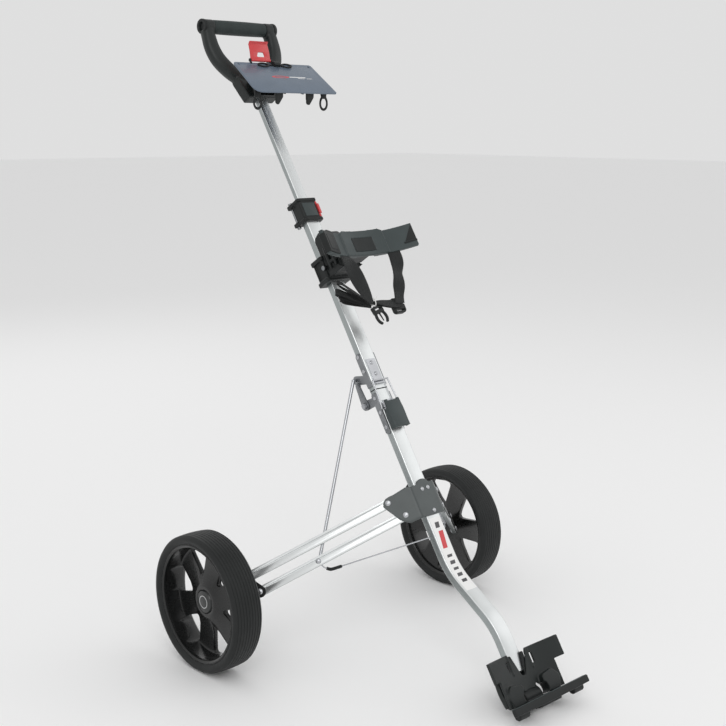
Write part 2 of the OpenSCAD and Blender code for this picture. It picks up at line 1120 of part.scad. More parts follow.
module red_clip() {
  color(red)
  on_tube()
  on_card()
  translate([0, clip_y, clip_z])
  rotate([38, 0, 0])
  difference() {
    union() {
      pin_x(clip_low, clip_high, 6);
      translate([clip_low, -1.3, 2])
      cube([clip_high - clip_low, 2.6, 37]);
      translate([clip_low, -6, 36.4])
      cube([clip_high - clip_low, 6, 2.6]);
    }
    pin_x(-60, 10, 3.1);
    translate([clip_low + 14, 10, 7])
    rotate([90, 0, 0])
    linear_extrude(20)
    polygon([[0, 0], [20, 0], [16, 10], [4, 10]]);
  }
}

// ---- latch
module latch_lever() {
  color(steel)
  on_tube()
  difference() {
    union() {
      both()
      across(11.3, 1.6)
      hull() {
        translate([-latch_h, latch_s])
        circle(r = 3.8);
        translate([-latch_h - 1, latch_s - 42])
        circle(r = 3);
      }
      translate([-12.9, -latch_h - 4, latch_s - 45.5])
      cube([25.8, 1.6, 38.5]);
      both()
      translate([0, -latch_h + 1, latch_s - 9])
      pin_x(11.3, 15.5, 6);
    }
    translate([0, -latch_h, latch_s])
    pin_x(-20, 20, 4.1);
    both()
    translate([0, -latch_h + 1, latch_s - 9])
    pin_x(10, 30, 3.1);
  }
}

module lever_cover() {
  top = latch_s + 3.5;
  low = top - cover_len;
  color(grey)
  on_tube()
  difference() {
    union() {
      translate([-18.6, -latch_h - 9.6, low])
      cube([37.2, 5.5, cover_len]);
      both()
      translate([15.7, -latch_h - 9.6, low])
      cube([2.9, 13, cover_len - 16]);
      translate([-18.6, -latch_h - 12, low - 1])
      cube([37.2, 10, 5]);
    }
    translate([-13, -latch_h - 4.1, latch_s - 46])
    cube([26, 20, 60]);
    translate([-11.8, -latch_h - 20, latch_s + 0.5])
    cube([23.6, 30, 10]);
  }
}

module wire_bail() {
  rise = bail_top_s - latch_s + 9;
  color(steel)
  on_tube()
  translate([0, -latch_h + 1, latch_s - 9]) {
    both() {
      pin_x(11, 22.3, bail_d);
      translate([22.3, 0, 0])
      rotate([0, -atan2(4, rise), 0])
      cylinder(d = bail_d, h = norm([4, rise]), $fn = 32);
      translate([22.3, 0, 0])
      sphere(d = bail_d + 0.6, $fn = 24);
      translate([18.3, 0, rise])
      sphere(d = bail_d + 0.6, $fn = 24);
    }
    translate([0, 0, rise])
    pin_x(-18.3, 18.3, bail_d);
  }
}

// ---- legs
module arm_bar(rod_hole) {
  rotate([0, 0, arm_spread - 90])
  difference() {
    translate([0, 0, -arm_t / 2])
    linear_extrude(arm_t)
    translate([arm_len / 2, 0])
    slot2d(arm_len + arm_w, arm_w);
    translate([30, -1.5, -arm_t / 2 - 1])
    cube([arm_len - 60, 3, 1.8]);
    for (d = [0, arm_len])
      translate([d, 0, -10])
      cylinder(d = 6 + 2 * fit, h = 20);
    if (rod_hole)
      translate([rod_at, 0, -10])
      cylinder(d = rod_d + 2 * fit, h = 20);
  }
  if (rod_hole)
    rotate([0, 0, arm_spread - 90])
    translate([rod_at, 0, 0]) {
      translate([0, 0, -arm_t / 2 - 0.2])
      cylinder(d = rod_d, h = arm_t + 0.1);
      translate([0, 0, -arm_t / 2 - 0.1])
      mirror([0, 0, 1])
      dome(10, 2.2);
    }
}

module lower_arm_l() {
  color(alu)
  leg(-1)
  arm_bar(true);
}

module lower_arm_r() {
  color(alu)
  leg(1)
  arm_bar(true);
}

module upper_arm_l() {
  color(alu)
  leg(-1)
  translate([upper_u, upper_v, 0])
  arm_bar(false);
}

module upper_arm_r() {
  color(alu)
  leg(1)
  translate([upper_u, upper_v, 0])
  arm_bar(false);
}

axle_in = half_track - tyre_w / 2 - 7;

module wheel_bracket(side) {
  color(black)
  mirror([side > 0 ? 1 : 0, 0, 0])
  on_tube()
  difference() {
    union() {
      intersection() {
        wing()
        translate([0, 0, -arm_t / 2 - 0.3 - bracket_t])
        linear_extrude(bracket_t)
        hull() {
          translate([arm_u, arm_v])
          circle(r = 10.5);
          translate([arm_u + upper_u, arm_v + upper_v])
          circle(r = 10.5);
          translate([arm_u + 44, arm_v + 12])
          square([1, 30]);
        }
        translate([-axle_in - 4, -400, 0])
        cube([axle_in, 800, 600]);
      }
      translate([0, 0, 0])
      across(-axle_in - 4, 4)
      hull() {
        translate([hub_back, hub_s])
        circle(r = 15);
        translate([hub_back - 49, hub_s - 22])
        square([1, 36]);
      }
      translate([0, hub_back, hub_s])
      pin_x(-axle_in - 1, -axle_in + 14, 24);
    }
    wing()
    for (p = [[arm_u, arm_v], [arm_u + upper_u, arm_v + upper_v]])
      translate([p[0], p[1], -20])
      cylinder(d = 6.1, h = 40);
    translate([0, hub_back, hub_s])
    pin_x(-400, 0, 10.1);
  }
}

module wheel_bracket_l() {
  wheel_bracket(-1);
}

module wheel_bracket_r() {
  wheel_bracket(1);
}

module axle_set(side) {
  color(steel)
  mirror([side > 0 ? 1 : 0, 0, 0])
  on_tube() {
    translate([0, hub_back, hub_s]) {
      pin_x(-half_track - 2.5, -axle_in + 16, 10);
      pin_x(-axle_in + 14.1, -axle_in + 18, 16);
    }
    wing()
    for (p = [[arm_u, arm_v], [arm_u + upper_u, arm_v + upper_v]])
      translate([p[0], p[1], 0])
      pivot_pin();
  }
}

module axle_l() {
  axle_set(-1);
}

module axle_r() {
  axle_set(1);
}

// wheels, drawn round their own axle with the outer face towards local +Z
module at_wheel(side) {
  translate([side * half_track, foot_y + axle_back, wheel_r])
  rotate([0, side * 90, 0])
  children();
}

module tyre(side) {
  ri = wheel_r - tyre_t;
  hw = tyre_w / 2;
  color([0.10, 0.11, 0.11])
  at_wheel(side)
  rotate_extrude($fn = 96)
  polygon([[ri, -hw + 5], [wheel_r - 9, -hw], [wheel_r - 4, -hw + 2], [wheel_r - 1, -hw + 8],
           [wheel_r - 0.3, -17.2], [wheel_r - 1.6, -16.6], [wheel_r - 1.6, -15.4], [wheel_r - 0.2, -14.8],
           [wheel_r, -6], [wheel_r - 1.4, -5.4], [wheel_r - 1.4, -4.2], [wheel_r, -3.6],
           [wheel_r, 3.6], [wheel_r - 1.4, 4.2], [wheel_r - 1.4, 5.4], [wheel_r, 6],
           [wheel_r - 0.2, 14.8], [wheel_r - 1.6, 15.4], [wheel_r - 1.6, 16.6], [wheel_r - 0.3, 17.2],
           [wheel_r - 1, hw - 8], [wheel_r - 4, hw - 2], [wheel_r - 9, hw], [ri, hw - 5]]);
}

module window_2d(ri) {
  hull() {
    translate([48, 0])
    circle(r = 4, $fn = 24);
    for (k = [-1, 1])
      rotate(k * 58 / window_count)
      translate([ri - 14, 0])
      circle(r = 6, $fn = 24);
  }
}

module rim(side, phase) {
  ri = wheel_r - tyre_t - 0.1;
  hw = tyre_w / 2;
  color(black)
  at_wheel(side)
  rotate(phase)
  difference() {
    union() {
      rotate_extrude($fn = 96)
      polygon([[ri - 4, -hw + 6], [ri, -hw + 6], [ri, hw - 6], [ri - 4, hw - 6]]);
      rotate_extrude($fn = 96)
      polygon([[3, -32], [10, -32], [12, -14], [20, -14], [26, -8], [ri - 3.9, -14], [ri - 3.9, -6], [30, 4], [24, 5], [3, 5]]);
    }
    for (i = [0 : window_count - 1])
      rotate((i + 0.5) * 360 / window_count)
      translate([0, 0, -30])
      linear_extrude(60)
      window_2d(ri);
    translate([0, 0, -60])
    cylinder(d = 10.1, h = 120);
    translate([0, 0, 3])
    cylinder(d = 40, h = 20);
  }
}

module hub_cap(side) {
  color(grey)
  at_wheel(side)
  rotate_extrude($fn = 64)
  polygon([[0, 3.1], [19.9, 3.1], [19.9, 5.5], [16, 8.2], [11, 8.6], [10.4, 8], [8.6, 8], [8, 8.8], [0, 9]]);
}

module tyre_l() {
  tyre(-1);
}

module tyre_r() {
  tyre(1);
}

module rim_l() {
  rim(-1, left_phase);
}

module rim_r() {
  rim(1, right_phase);
}

module hub_cap_l() {
  hub_cap(-1);
}

module hub_cap_r() {
  hub_cap(1);
}

// ---- push rods and stay wire
rod_u = rod_at * sin(arm_spread);
rod_v = -rod_at * cos(arm_spread);
rod_back = arm_t / 2 + 1 + rod_d / 2;
rod_low = [-pivot_x - ca * rod_u + sa * rod_back, pivot_back + sa * rod_u + ca * rod_back, pivot_s + rod_v];
rod_top = [-25, 28, 609];
rod_dir = rod_top - rod_low;
// the rod turns about this line at the lower arm, so that its free end follows the upper plates
rod_turn = [-0.1150, 0.8454, -0.5216];

module along(v) {
  rotate([0, acos(v[2] / norm(v)), atan2(v[1], v[0])])
  children();
}

module push_rod(side) {
  color(steel)
  mirror([side > 0 ? 1 : 0, 0, 0])
  on_tube() {
    translate(rod_low)
    along(rod_dir)
    cylinder(d = rod_d, h = norm(rod_dir), $fn = 32);
    translate(rod_top)
    sphere(d = rod_d + 0.8, $fn = 32);
    translate(rod_low)
    along(rod_turn)
    cylinder(d = rod_d + 0.6, h = 3, center = true);
  }
}

module push_rod_l() {
  push_rod(-1);
}

module push_rod_r() {
  push_rod(1);
}

stay_x = -rod_low[0] - 22;
stay_y = rod_low[1] + 1;
stay_s = rod_low[2] - 20;

module stay_wire() {
  color(steel)
  on_tube()
  translate([0, stay_y, stay_s])
  pin_x(-stay_x, stay_x, 2.5);
}

module stay_sleeves() {
  color(black)
  on_tube()
  both()
  translate([0, stay_y, stay_s])
  difference() {
    pin_x(stay_x - 34, stay_x - 2, 6);
    pin_x(0, stay_x + 10, 2.6);
  }
}

lower_tube();
lower_plug();
lower_plates();
base_rivets();
hinge_bolt();
leg_bracket();
leg_pins();
latch_base();
latch_pin();
foot_base();
foot_saddle();
foot_bolt();
mid_tube();
mid_plug();
upper_plates();
upper_rivets();
catch_plate();
collar_body();
collar_lever();
clamp_bolts();
cradle_clamp();
cradle_band();
cradle_pad();
strap_near();
strap_far();
strap_bundle();
strap_tie();
buckle_male();
buckle_female();
handle_tube();
handle_slider();
handle_frame();
grip_sleeve();
grip_core();
scorecard_plate();
plate_bracket();
tee_holders();
card_clip_base();
red_clip();
latch_lever();
lever_cover();
wire_bail();
lower_arm_l();
lower_arm_r();
upper_arm_l();
upper_arm_r();
wheel_bracket_l();
wheel_bracket_r();
axle_l();
axle_r();
rim_l();
rim_r();
tyre_l();
tyre_r();
hub_cap_l();
hub_cap_r();
push_rod_l();
push_rod_r();
stay_wire();
stay_sleeves();
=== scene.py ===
import json
from math import acos, asin, atan2, copysign, cos, hypot, pi, radians, sin, sqrt, tan

import bmesh
import bpy
from mathutils import Matrix, Vector


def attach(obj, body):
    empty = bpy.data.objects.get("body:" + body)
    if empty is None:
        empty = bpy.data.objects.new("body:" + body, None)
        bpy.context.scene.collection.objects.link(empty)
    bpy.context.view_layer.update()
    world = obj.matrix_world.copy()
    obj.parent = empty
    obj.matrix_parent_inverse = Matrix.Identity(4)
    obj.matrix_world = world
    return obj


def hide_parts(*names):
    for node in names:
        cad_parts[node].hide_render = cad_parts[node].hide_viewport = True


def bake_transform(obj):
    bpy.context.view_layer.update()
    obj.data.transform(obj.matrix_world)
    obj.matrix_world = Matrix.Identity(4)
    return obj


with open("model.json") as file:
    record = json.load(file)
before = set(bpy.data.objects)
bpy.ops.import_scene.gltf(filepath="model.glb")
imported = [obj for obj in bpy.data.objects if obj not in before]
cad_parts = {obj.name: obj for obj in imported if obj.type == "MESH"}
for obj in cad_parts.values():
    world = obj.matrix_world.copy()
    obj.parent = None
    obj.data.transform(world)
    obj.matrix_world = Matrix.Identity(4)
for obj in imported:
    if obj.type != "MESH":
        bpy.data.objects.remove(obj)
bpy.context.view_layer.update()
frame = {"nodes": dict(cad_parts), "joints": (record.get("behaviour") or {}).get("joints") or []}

# ---- sizes (millimetres)
TUBE_SIZE = (32, 16, 2.6)  # width, depth and corner radius of the main tube
TUBE_HOLE = (32.2, 16.2, 2.6)  # the same with the clearance that a moulding leaves round it
SLIM_SIZE = (24, 11, 2.2)  # handle tube
ARM_REACH, ARM_HALF, ARM_THICK = 291.0, 8.5, 7.0
PIN_R = 3.05
TYRE_R, TYRE_SEAT, RIM_R = 125, 107.5, 107.3
GRIP_AT = (0, -16, 1353)
PLATE_THICK, PLATE_PRINT = 3.0, 3.15  # card plate, and the top of what is printed on it
CLIP_AT = (0, -6.4, 3.6)  # hinge line of the red clip, in the card plate's frame

# ---- frames
LEAN = radians(33)
SWEEP = radians(44.5)
SPREAD = radians(84.5)
joints = {j["name"]: j for j in frame["joints"]}
fold = joints["fold"]["pos_m"]
FOLD_OUT, FOLD_UP = 0.0285, 0.5575  # the hinge bolt behind and up the tube, in metres
FOOT_Y = fold[1] - FOLD_OUT * cos(LEAN) - FOLD_UP * sin(LEAN)
MM = Matrix.Scale(0.001, 4)
TUBE = Matrix.Translation((0, FOOT_Y, 0)) @ Matrix.Rotation(-LEAN, 4, "X") @ MM
CARD_IN_TUBE = Matrix.Translation((0, -66, 1234)) @ Matrix.Rotation(radians(-21.2), 4, "X")
CARD = TUBE @ CARD_IN_TUBE
MIRROR = Matrix.Scale(-1, 4, (1, 0, 0))
SIDES = {"l": -1, "r": 1}
LONG = {"l": "left", "r": "right"}


def wing(side):
    """Plane of one leg: X out along the wing, Y up the tube, Z to the rear."""
    m = Matrix(((-cos(SWEEP), 0, sin(SWEEP), -42.5),
                (sin(SWEEP), 0, cos(SWEEP), 12.1),
                (0, 1, 0, 341.8),
                (0, 0, 0, 1)))
    return TUBE @ (MIRROR if side > 0 else Matrix.Identity(4)) @ m


# ---- camera
def make_camera():
    data = bpy.data.cameras.new("camera")
    cam = bpy.data.objects.new("camera", data)
    bpy.context.scene.collection.objects.link(cam)
    az, el, roll = radians(-42.82), radians(11.20), radians(0.24)
    back = Vector((sin(az) * cos(el), -cos(az) * cos(el), sin(el)))
    turn = (-back).to_track_quat("-Z", "Y").to_matrix().to_4x4() @ Matrix.Rotation(roll, 4, "Z")
    axle_y = FOOT_Y + 0.423
    # the place is measured from the axle line, in metres
    cam.matrix_world = Matrix.Translation((-1.4763, -1.6601 + axle_y, 0.9559)) @ turn
    data.sensor_width = 36
    data.lens = 59.28
    data.clip_start = 0.01
    bpy.context.scene.camera = cam


make_camera()


# ---- materials
class Nodes:
    """Shorthand for building a node tree."""

    def __init__(self, name):
        self.mat = bpy.data.materials.new(name)
        self.mat.use_nodes = True
        self.tree = self.mat.node_tree
        self.bsdf = self.tree.nodes["Principled BSDF"]

    def add(self, kind, **values):
        node = self.tree.nodes.new(kind)
        for key, value in values.items():
            if key in node.inputs.keys():
                node.inputs[key].default_value = value
            else:
                setattr(node, key, value)
        return node

    def link(self, a, b):
        self.tree.links.new(a, b)

    def coords(self, scale=(1, 1, 1), turn=(0, 0, 0)):
        tex = self.add("ShaderNodeTexCoord")
        first = self.add("ShaderNodeMapping")
        first.inputs["Rotation"].default_value = turn
        self.link(tex.outputs["Object"], first.inputs["Vector"])
        m = self.add("ShaderNodeMapping")
        m.inputs["Scale"].default_value = scale
        self.link(first.outputs["Vector"], m.inputs["Vector"])
        return m.outputs["Vector"]

    def noise(self, vector, scale, detail):
        n = self.add("ShaderNodeTexNoise", Scale=scale, Detail=detail, Roughness=0.5)
        self.link(vector, n.inputs["Vector"])
        return n.outputs["Fac"]

    def ramp(self, fac, low, high, start=0.3, end=0.7):
        r = self.add("ShaderNodeValToRGB")
        r.color_ramp.elements[0].position = start
        r.color_ramp.elements[1].position = end
        r.color_ramp.elements[0].color = (*low, 1)
        r.color_ramp.elements[1].color = (*high, 1)
        self.link(fac, r.inputs["Fac"])
        return r.outputs["Color"]

    def spread(self, fac, low, high):
        m = self.add("ShaderNodeMapRange")
        m.inputs["To Min"].default_value = low
        m.inputs["To Max"].default_value = high
        self.link(fac, m.inputs["Value"])
        return m.outputs["Result"]

    def bump(self, height, strength, distance):
        b = self.add("ShaderNodeBump", Strength=strength, Distance=distance)
        self.link(height, b.inputs["Height"])
        self.link(b.outputs["Normal"], self.bsdf.inputs["Normal"])


def shade(c, k):
    return tuple(min(1.0, v * k) for v in c)


def plastic(name, color, rough, grain, strength, vary, spec=0.5, coat=0.0):
    """Moulded plastic or rubber: fine grain, slow shade changes, uneven gloss."""
    n = Nodes(name)
    v = n.coords()
    slow = n.noise(v, 28, 4)
    n.link(n.ramp(slow, shade(color, 1 - vary), shade(color, 1 + vary)), n.bsdf.inputs["Base Color"])
    n.link(n.spread(n.noise(v, 60, 5), rough - 0.07, rough + 0.09), n.bsdf.inputs["Roughness"])
    n.bsdf.inputs["Specular IOR Level"].default_value = spec
    n.bsdf.inputs["Coat Weight"].default_value = coat
    n.bump(n.noise(v, grain, 2), strength, 0.0006)
    return n.mat


def metal(name, color, rough, along, vary, strength, streak):
    """Drawn or plated metal; along turns the mapping, so that fine streaks run along its Z."""
    n = Nodes(name)
    n.bsdf.inputs["Metallic"].default_value = 1.0
    slow = n.noise(n.coords(), 35, 4)
    n.link(n.ramp(slow, shade(color, 1 - vary), shade(color, 1 + vary)), n.bsdf.inputs["Base Color"])
    if along is None:
        fine = n.noise(n.coords(), streak, 3)
    else:
        fine = n.noise(n.coords((1, 1, 0.02), along), streak, 3)
    n.link(n.spread(fine, rough - 0.06, rough + 0.08), n.bsdf.inputs["Roughness"])
    n.bump(fine, strength, 0.0002)
    return n.mat


def woven(name, color):
    """Webbing: crossed threads in the ribbon's own UV metres, with fuzz and sheen."""
    thread = 0.0009
    n = Nodes(name)
    tex = n.add("ShaderNodeTexCoord")
    m = n.add("ShaderNodeMapping")
    m.inputs["Scale"].default_value = (1 / thread, 1 / thread, 1)
    n.link(tex.outputs["UV"], m.inputs["Vector"])
    v = m.outputs["Vector"]
    waves = []
    for axis, turn in (("X", 0.0), ("Y", 0.0), ("X", 0.78)):
        w = n.add("ShaderNodeTexWave", Scale=0.5 if turn == 0 else 0.25, Distortion=0.4)
        w.bands_direction = axis
        r = n.add("ShaderNodeMapping")
        r.inputs["Rotation"].default_value = (0, 0, turn)
        n.link(v, r.inputs["Vector"])
        n.link(r.outputs["Vector"], w.inputs["Vector"])
        waves.append(w.outputs["Fac"])
    mul = n.add("ShaderNodeMath", operation="MULTIPLY")
    n.link(waves[0], mul.inputs[0])
    n.link(waves[1], mul.inputs[1])
    add = n.add("ShaderNodeMath", operation="MULTIPLY_ADD")
    add.inputs[1].default_value = 0.35
    n.link(waves[2], add.inputs[0])
    n.link(mul.outputs[0], add.inputs[2])
    n.link(n.ramp(add.outputs[0], shade(color, 0.55), shade(color, 1.7), 0.0, 1.0),
           n.bsdf.inputs["Base Color"])
    n.bsdf.inputs["Roughness"].default_value = 0.8
    n.bsdf.inputs["Sheen Weight"].default_value = 0.15
    n.bsdf.inputs["Sheen Roughness"].default_value = 0.4
    n.bump(add.outputs[0], 0.5, 0.0005)
    return n.mat


TURN_TUBE = (LEAN, 0, 0)
MAT = {
    "alu": metal("anodised_tube", (0.72, 0.74, 0.74), 0.33, TURN_TUBE, 0.03, 0.02, 1400),
    # a darker copy of the tube aluminium for tube sides, arm edges and the arm groove: painted shade
    "alu_painted_shade": metal("anodised_painted_shade", (0.40, 0.43, 0.43), 0.36, TURN_TUBE, 0.04, 0.02, 1400),
    "arm": metal("arm_bar", (0.74, 0.76, 0.76), 0.34, None, 0.04, 0.05, 1200),
    "zinc": metal("zinc_plate", (0.50, 0.51, 0.53), 0.3, None, 0.12, 0.05, 500),
    "steel": metal("dark_steel", (0.26, 0.27, 0.28), 0.34, None, 0.14, 0.06, 500),
    "wire": metal("bright_wire", (0.50, 0.51, 0.53), 0.20, None, 0.04, 0.02, 800),
    "grey_paint": plastic("grey_paint", (0.062, 0.073, 0.073), 0.36, 700, 0.10, 0.10, 0.5, 0.15),
    "black_paint": plastic("black_paint", (0.012, 0.013, 0.013), 0.34, 700, 0.10, 0.12, 0.4, 0.1),
    "black": plastic("black_plastic", (0.008, 0.010, 0.010), 0.44, 900, 0.16, 0.12, 0.35),
    "soft_black": plastic("black_satin", (0.012, 0.0155, 0.015), 0.40, 900, 0.16, 0.12, 0.4),
    "band": plastic("grey_plastic", (0.034, 0.047, 0.048), 0.42, 900, 0.14, 0.10),
    "foam": plastic("grip_foam", (0.026, 0.036, 0.035), 0.62, 1500, 0.5, 0.12, 0.35),
    "pad": plastic("pad_rubber", (0.012, 0.015, 0.015), 0.55, 1200, 0.35, 0.12, 0.4),
    "card": plastic("card_plate", (0.125, 0.16, 0.21), 0.36, 700, 0.06, 0.05, 0.5, 0.1),
    "red": plastic("red_plastic", (0.62, 0.045, 0.05), 0.32, 700, 0.05, 0.06, 0.5, 0.3),
    "tyre": plastic("tyre_rubber", (0.011, 0.0125, 0.0125), 0.52, 500, 0.35, 0.15, 0.35),
    "rim": plastic("rim_plastic", (0.006, 0.0065, 0.0065), 0.25, 700, 0.06, 0.10, 0.4, 0.2),
    "hub": plastic("hub_cap", (0.012, 0.014, 0.014), 0.30, 700, 0.08, 0.08, 0.5, 0.2),
    "hub_line": plastic("hub_ring", (0.55, 0.56, 0.56), 0.35, 700, 0.05, 0.05),
    "label": plastic("label_white", (0.86, 0.86, 0.85), 0.3, 700, 0.03, 0.02, 0.5, 0.4),
    "label_red": plastic("label_red", (0.62, 0.03, 0.04), 0.3, 700, 0.03, 0.05, 0.5, 0.4),
    "label_dark": plastic("label_dark", (0.05, 0.05, 0.055), 0.3, 700, 0.03, 0.05, 0.5, 0.4),
    "tie": plastic("tie_white", (0.82, 0.82, 0.80), 0.4, 900, 0.05, 0.03),
    "web": woven("webbing", (0.010, 0.0115, 0.0115)),
}
SLOTS = {"black": "black_plastic", "soft_black": "black_plastic", "band": "grey_plastic", "red": "red_plastic"}


# ---- mesh tools (millimetres)
def mesh_object(name, verts, faces, matrix=TUBE):
    me = bpy.data.meshes.new(name)
    me.from_pydata([tuple(v) for v in verts], [], faces)
    me.transform(matrix)
    me.update()
    ob = bpy.data.objects.new(name, me)
    bpy.context.scene.collection.objects.link(ob)
    bm = bmesh.new()
    bm.from_mesh(me)
    bmesh.ops.recalc_face_normals(bm, faces=bm.faces)
    bm.to_mesh(me)
    bm.free()
    return ob


def bake(ob):
    """The object's modifiers are applied to its mesh."""
    dg = bpy.context.evaluated_depsgraph_get()
    dg.update()
    me = bpy.data.meshes.new_from_object(ob.evaluated_get(dg))
    ob.modifiers.clear()
    old = ob.data
    ob.data = me
    bpy.data.meshes.remove(old)
    return ob


def modify(ob, kind, **values):
    """One modifier, added, set and applied."""
    mod = ob.modifiers.new(kind.lower(), kind)
    for key, value in values.items():
        setattr(mod, key, value)
    return bake(ob)


def cut_with(ob, tool):
    modify(ob, "BOOLEAN", operation="DIFFERENCE", object=tool, solver="EXACT")
    bpy.data.objects.remove(tool)


def finish(ob, mats, body, nodes=(), slot=None, angle=35, bevel=0.0):
    """Material, softened edges, shading, and what the piece rides on and stands for; bevel in millimetres."""
    ob.data.materials.clear()
    for m in [mats] if isinstance(mats, str) else mats:
        ob.data.materials.append(MAT[m])
    if bevel:
        modify(ob, "BEVEL", width=bevel * 0.001, segments=2, limit_method="ANGLE", angle_limit=radians(32),
               use_clamp_overlap=True)
    ob.data.polygons.foreach_set("use_smooth", [True] * len(ob.data.polygons))
    ob.data.set_sharp_from_angle(angle=radians(angle))
    if body:
        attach(ob, body)
    if nodes:
        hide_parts(*nodes)
    slot = slot or SLOTS.get(mats if isinstance(mats, str) else None)
    return ob


def piece(name, solid, matrix, *rest, **look):
    """A mesh made and finished in one step; see finish for the rest."""
    return finish(mesh_object(name, *solid, matrix), *rest, **look)


def cap_grid(rings, closed_ring=True, closed_path=False, caps=True):
    """Faces of a skin through rings of equal length."""
    k = len(rings[0])
    verts = [v for r in rings for v in r]
    faces = []
    n = len(rings)
    for i in range(n if closed_path else n - 1):
        for j in range(k if closed_ring else k - 1):
            a, b = i * k + j, i * k + (j + 1) % k
            c, d = ((i + 1) % n) * k + (j + 1) % k, ((i + 1) % n) * k + j
            faces.append((a, b, c, d))
    if caps and closed_ring and not closed_path:
        faces.append(tuple(range(k - 1, -1, -1)))
        faces.append(tuple(range((n - 1) * k, n * k)))
    return verts, faces


def lathe(profile, count):
    """Turned about local Z; the profile is (radius, z) and closes on itself."""
    rings = []
    for i in range(count):
        a = 2 * pi * i / count
        rings.append([(r * cos(a), r * sin(a), z) for r, z in profile])
    return cap_grid(rings, closed_path=True, caps=False)


def round_rect(w, d, r, steps=4):
    pts = []
    for cx, cy, a0 in ((1, 1, 0), (-1, 1, 90), (-1, -1, 180), (1, -1, 270)):
        for i in range(steps + 1):
            a = radians(a0 + 90 * i / steps)
            pts.append((cx * (w / 2 - r) + r * cos(a), cy * (d / 2 - r) + r * sin(a)))
    return pts


def super_ring(w, d, power, count=28):
    pts = []
    for i in range(count):
        a = 2 * pi * i / count
        c, s = cos(a), sin(a)
        pts.append((w * copysign(abs(c) ** (2 / power), c), d * copysign(abs(s) ** (2 / power), s)))
    return pts


def sweep(path, ring_of, side=Vector((1, 0, 0))):
    """Rings across a path; ring_of(i) gives (a, b) points, a along the side direction and b across."""
    path = [Vector(p) for p in path]
    rings = []
    for i, p in enumerate(path):
        t = (path[min(i + 1, len(path) - 1)] - path[max(i - 1, 0)]).normalized()
        s = side(i) if callable(side) else side
        s = (s - t * s.dot(t)).normalized()
        b = t.cross(s)
        rings.append([p + s * x + b * y for x, y in ring_of(i)])
    return cap_grid(rings)


def smooth_path(points, per=6):
    """Catmull-Rom line through the points."""
    pts = [Vector(p) for p in points]
    out = []
    for i in range(len(pts) - 1):
        a = pts[max(i - 1, 0)]
        b, c = pts[i], pts[i + 1]
        d = pts[min(i + 2, len(pts) - 1)]
        for k in range(per):
            t = k / per
            out.append(0.5 * ((2 * b) + (c - a) * t + (2 * a - 5 * b + 4 * c - d) * t * t
                              + (3 * b - a - 3 * c + d) * t ** 3))
    out.append(pts[-1])
    return out


def box(x0, x1, y0, y1, z0, z1):
    v = [(x, y, z) for x in (x0, x1) for y in (y0, y1) for z in (z0, z1)]
    f = [(0, 1, 3, 2), (4, 6, 7, 5), (0, 4, 5, 1), (2, 3, 7, 6), (0, 2, 6, 4), (1, 5, 7, 3)]
    return v, f


def prism(outline, lo, hi, axis="X"):
    """Outline pushed along an axis: X takes (y, z), Y takes (x, z), Z takes (x, y)."""
    def at(p, k):
        return {"X": (k, p[0], p[1]), "Y": (p[0], k, p[1]), "Z": (p[0], p[1], k)}[axis]
    return cap_grid([[at(p, lo) for p in outline], [at(p, hi) for p in outline]])


def rod(p, q, r, count=24, r2=None):
    p, q = Vector(p), Vector(q)
    t = (q - p).normalized()
    s = t.orthogonal().normalized()
    b = t.cross(s)
    rings = []
    for c, k in ((p, r), (q, r2 or r)):
        rings.append([c + s * k * cos(2 * pi * i / count) + b * k * sin(2 * pi * i / count)
                      for i in range(count)])
    return cap_grid(rings)


def ring_of(count, sides, at):
    """A closed ring; at(a, b) is its point at angle a round the ring and b round its section."""
    return cap_grid([[at(2 * pi * i / count, 2 * pi * j / sides) for j in range(sides)]
                     for i in range(count)], closed_path=True, caps=False)


def span(side, a, b):
    """The range from a to b on the right, or its mirror on the left."""
    return min(side * a, side * b), max(side * a, side * b)


def moved(solid, matrix):
    return [matrix @ Vector(v) for v in solid[0]], solid[1]


def shifted(solid, *by):
    return moved(solid, Matrix.Translation(by))


def mirrored(solid):
    return [(-v[0], v[1], v[2]) for v in (Vector(p) for p in solid[0])], [tuple(reversed(f)) for f in solid[1]]


def joined(solids):
    verts, faces = [], []
    for v, f in solids:
        k = len(verts)
        verts += [tuple(p) for p in v]
        faces += [tuple(i + k for i in q) for q in f]
    return verts, faces


def moulded(name, solids, cuts, voxel, smooth, *rest, matrix=TUBE, **look):
    """One moulded body: the solids grown together, the cuts taken out, all edges softened."""
    ob = mesh_object(name, *joined(solids), matrix)
    modify(ob, "REMESH", mode="VOXEL", voxel_size=voxel * 0.001)
    if cuts:
        tool = mesh_object(name + "_cut", *joined(cuts), matrix)
        modify(tool, "REMESH", mode="VOXEL", voxel_size=voxel * 0.0008)
        cut_with(ob, tool)
        modify(ob, "REMESH", mode="VOXEL", voxel_size=voxel * 0.001)
    return finish(modify(ob, "SMOOTH", factor=0.5, iterations=smooth), *rest, **look)


# ---- tubes
def bent_line():
    r, ang, run, top = 130, radians(25), 69, 251
    pts = [(0, 574), (0, 420), (0, 300)]
    for i in range(17):
        a = ang * i / 16
        pts.append((-r * (1 - cos(a)), top - r * sin(a)))
    my = pts[-1][0] - run * sin(ang)
    mz = pts[-1][1] - run * cos(ang)
    for i in range(17):
        a = ang * (1 - i / 16)
        pts.append((my - r * (cos(a) - cos(ang)), mz - r * (sin(ang) - sin(a))))
    pts.append((pts[-1][0], 24))
    return pts


BENT = bent_line()


def paint_side_shade(ob):
    """The narrow side faces take the second material, a darker copy of the aluminium: painted shade on the
    sides.
    """
    for p in ob.data.polygons:
        if abs(p.normal.x) > 0.9:
            p.material_index = 1


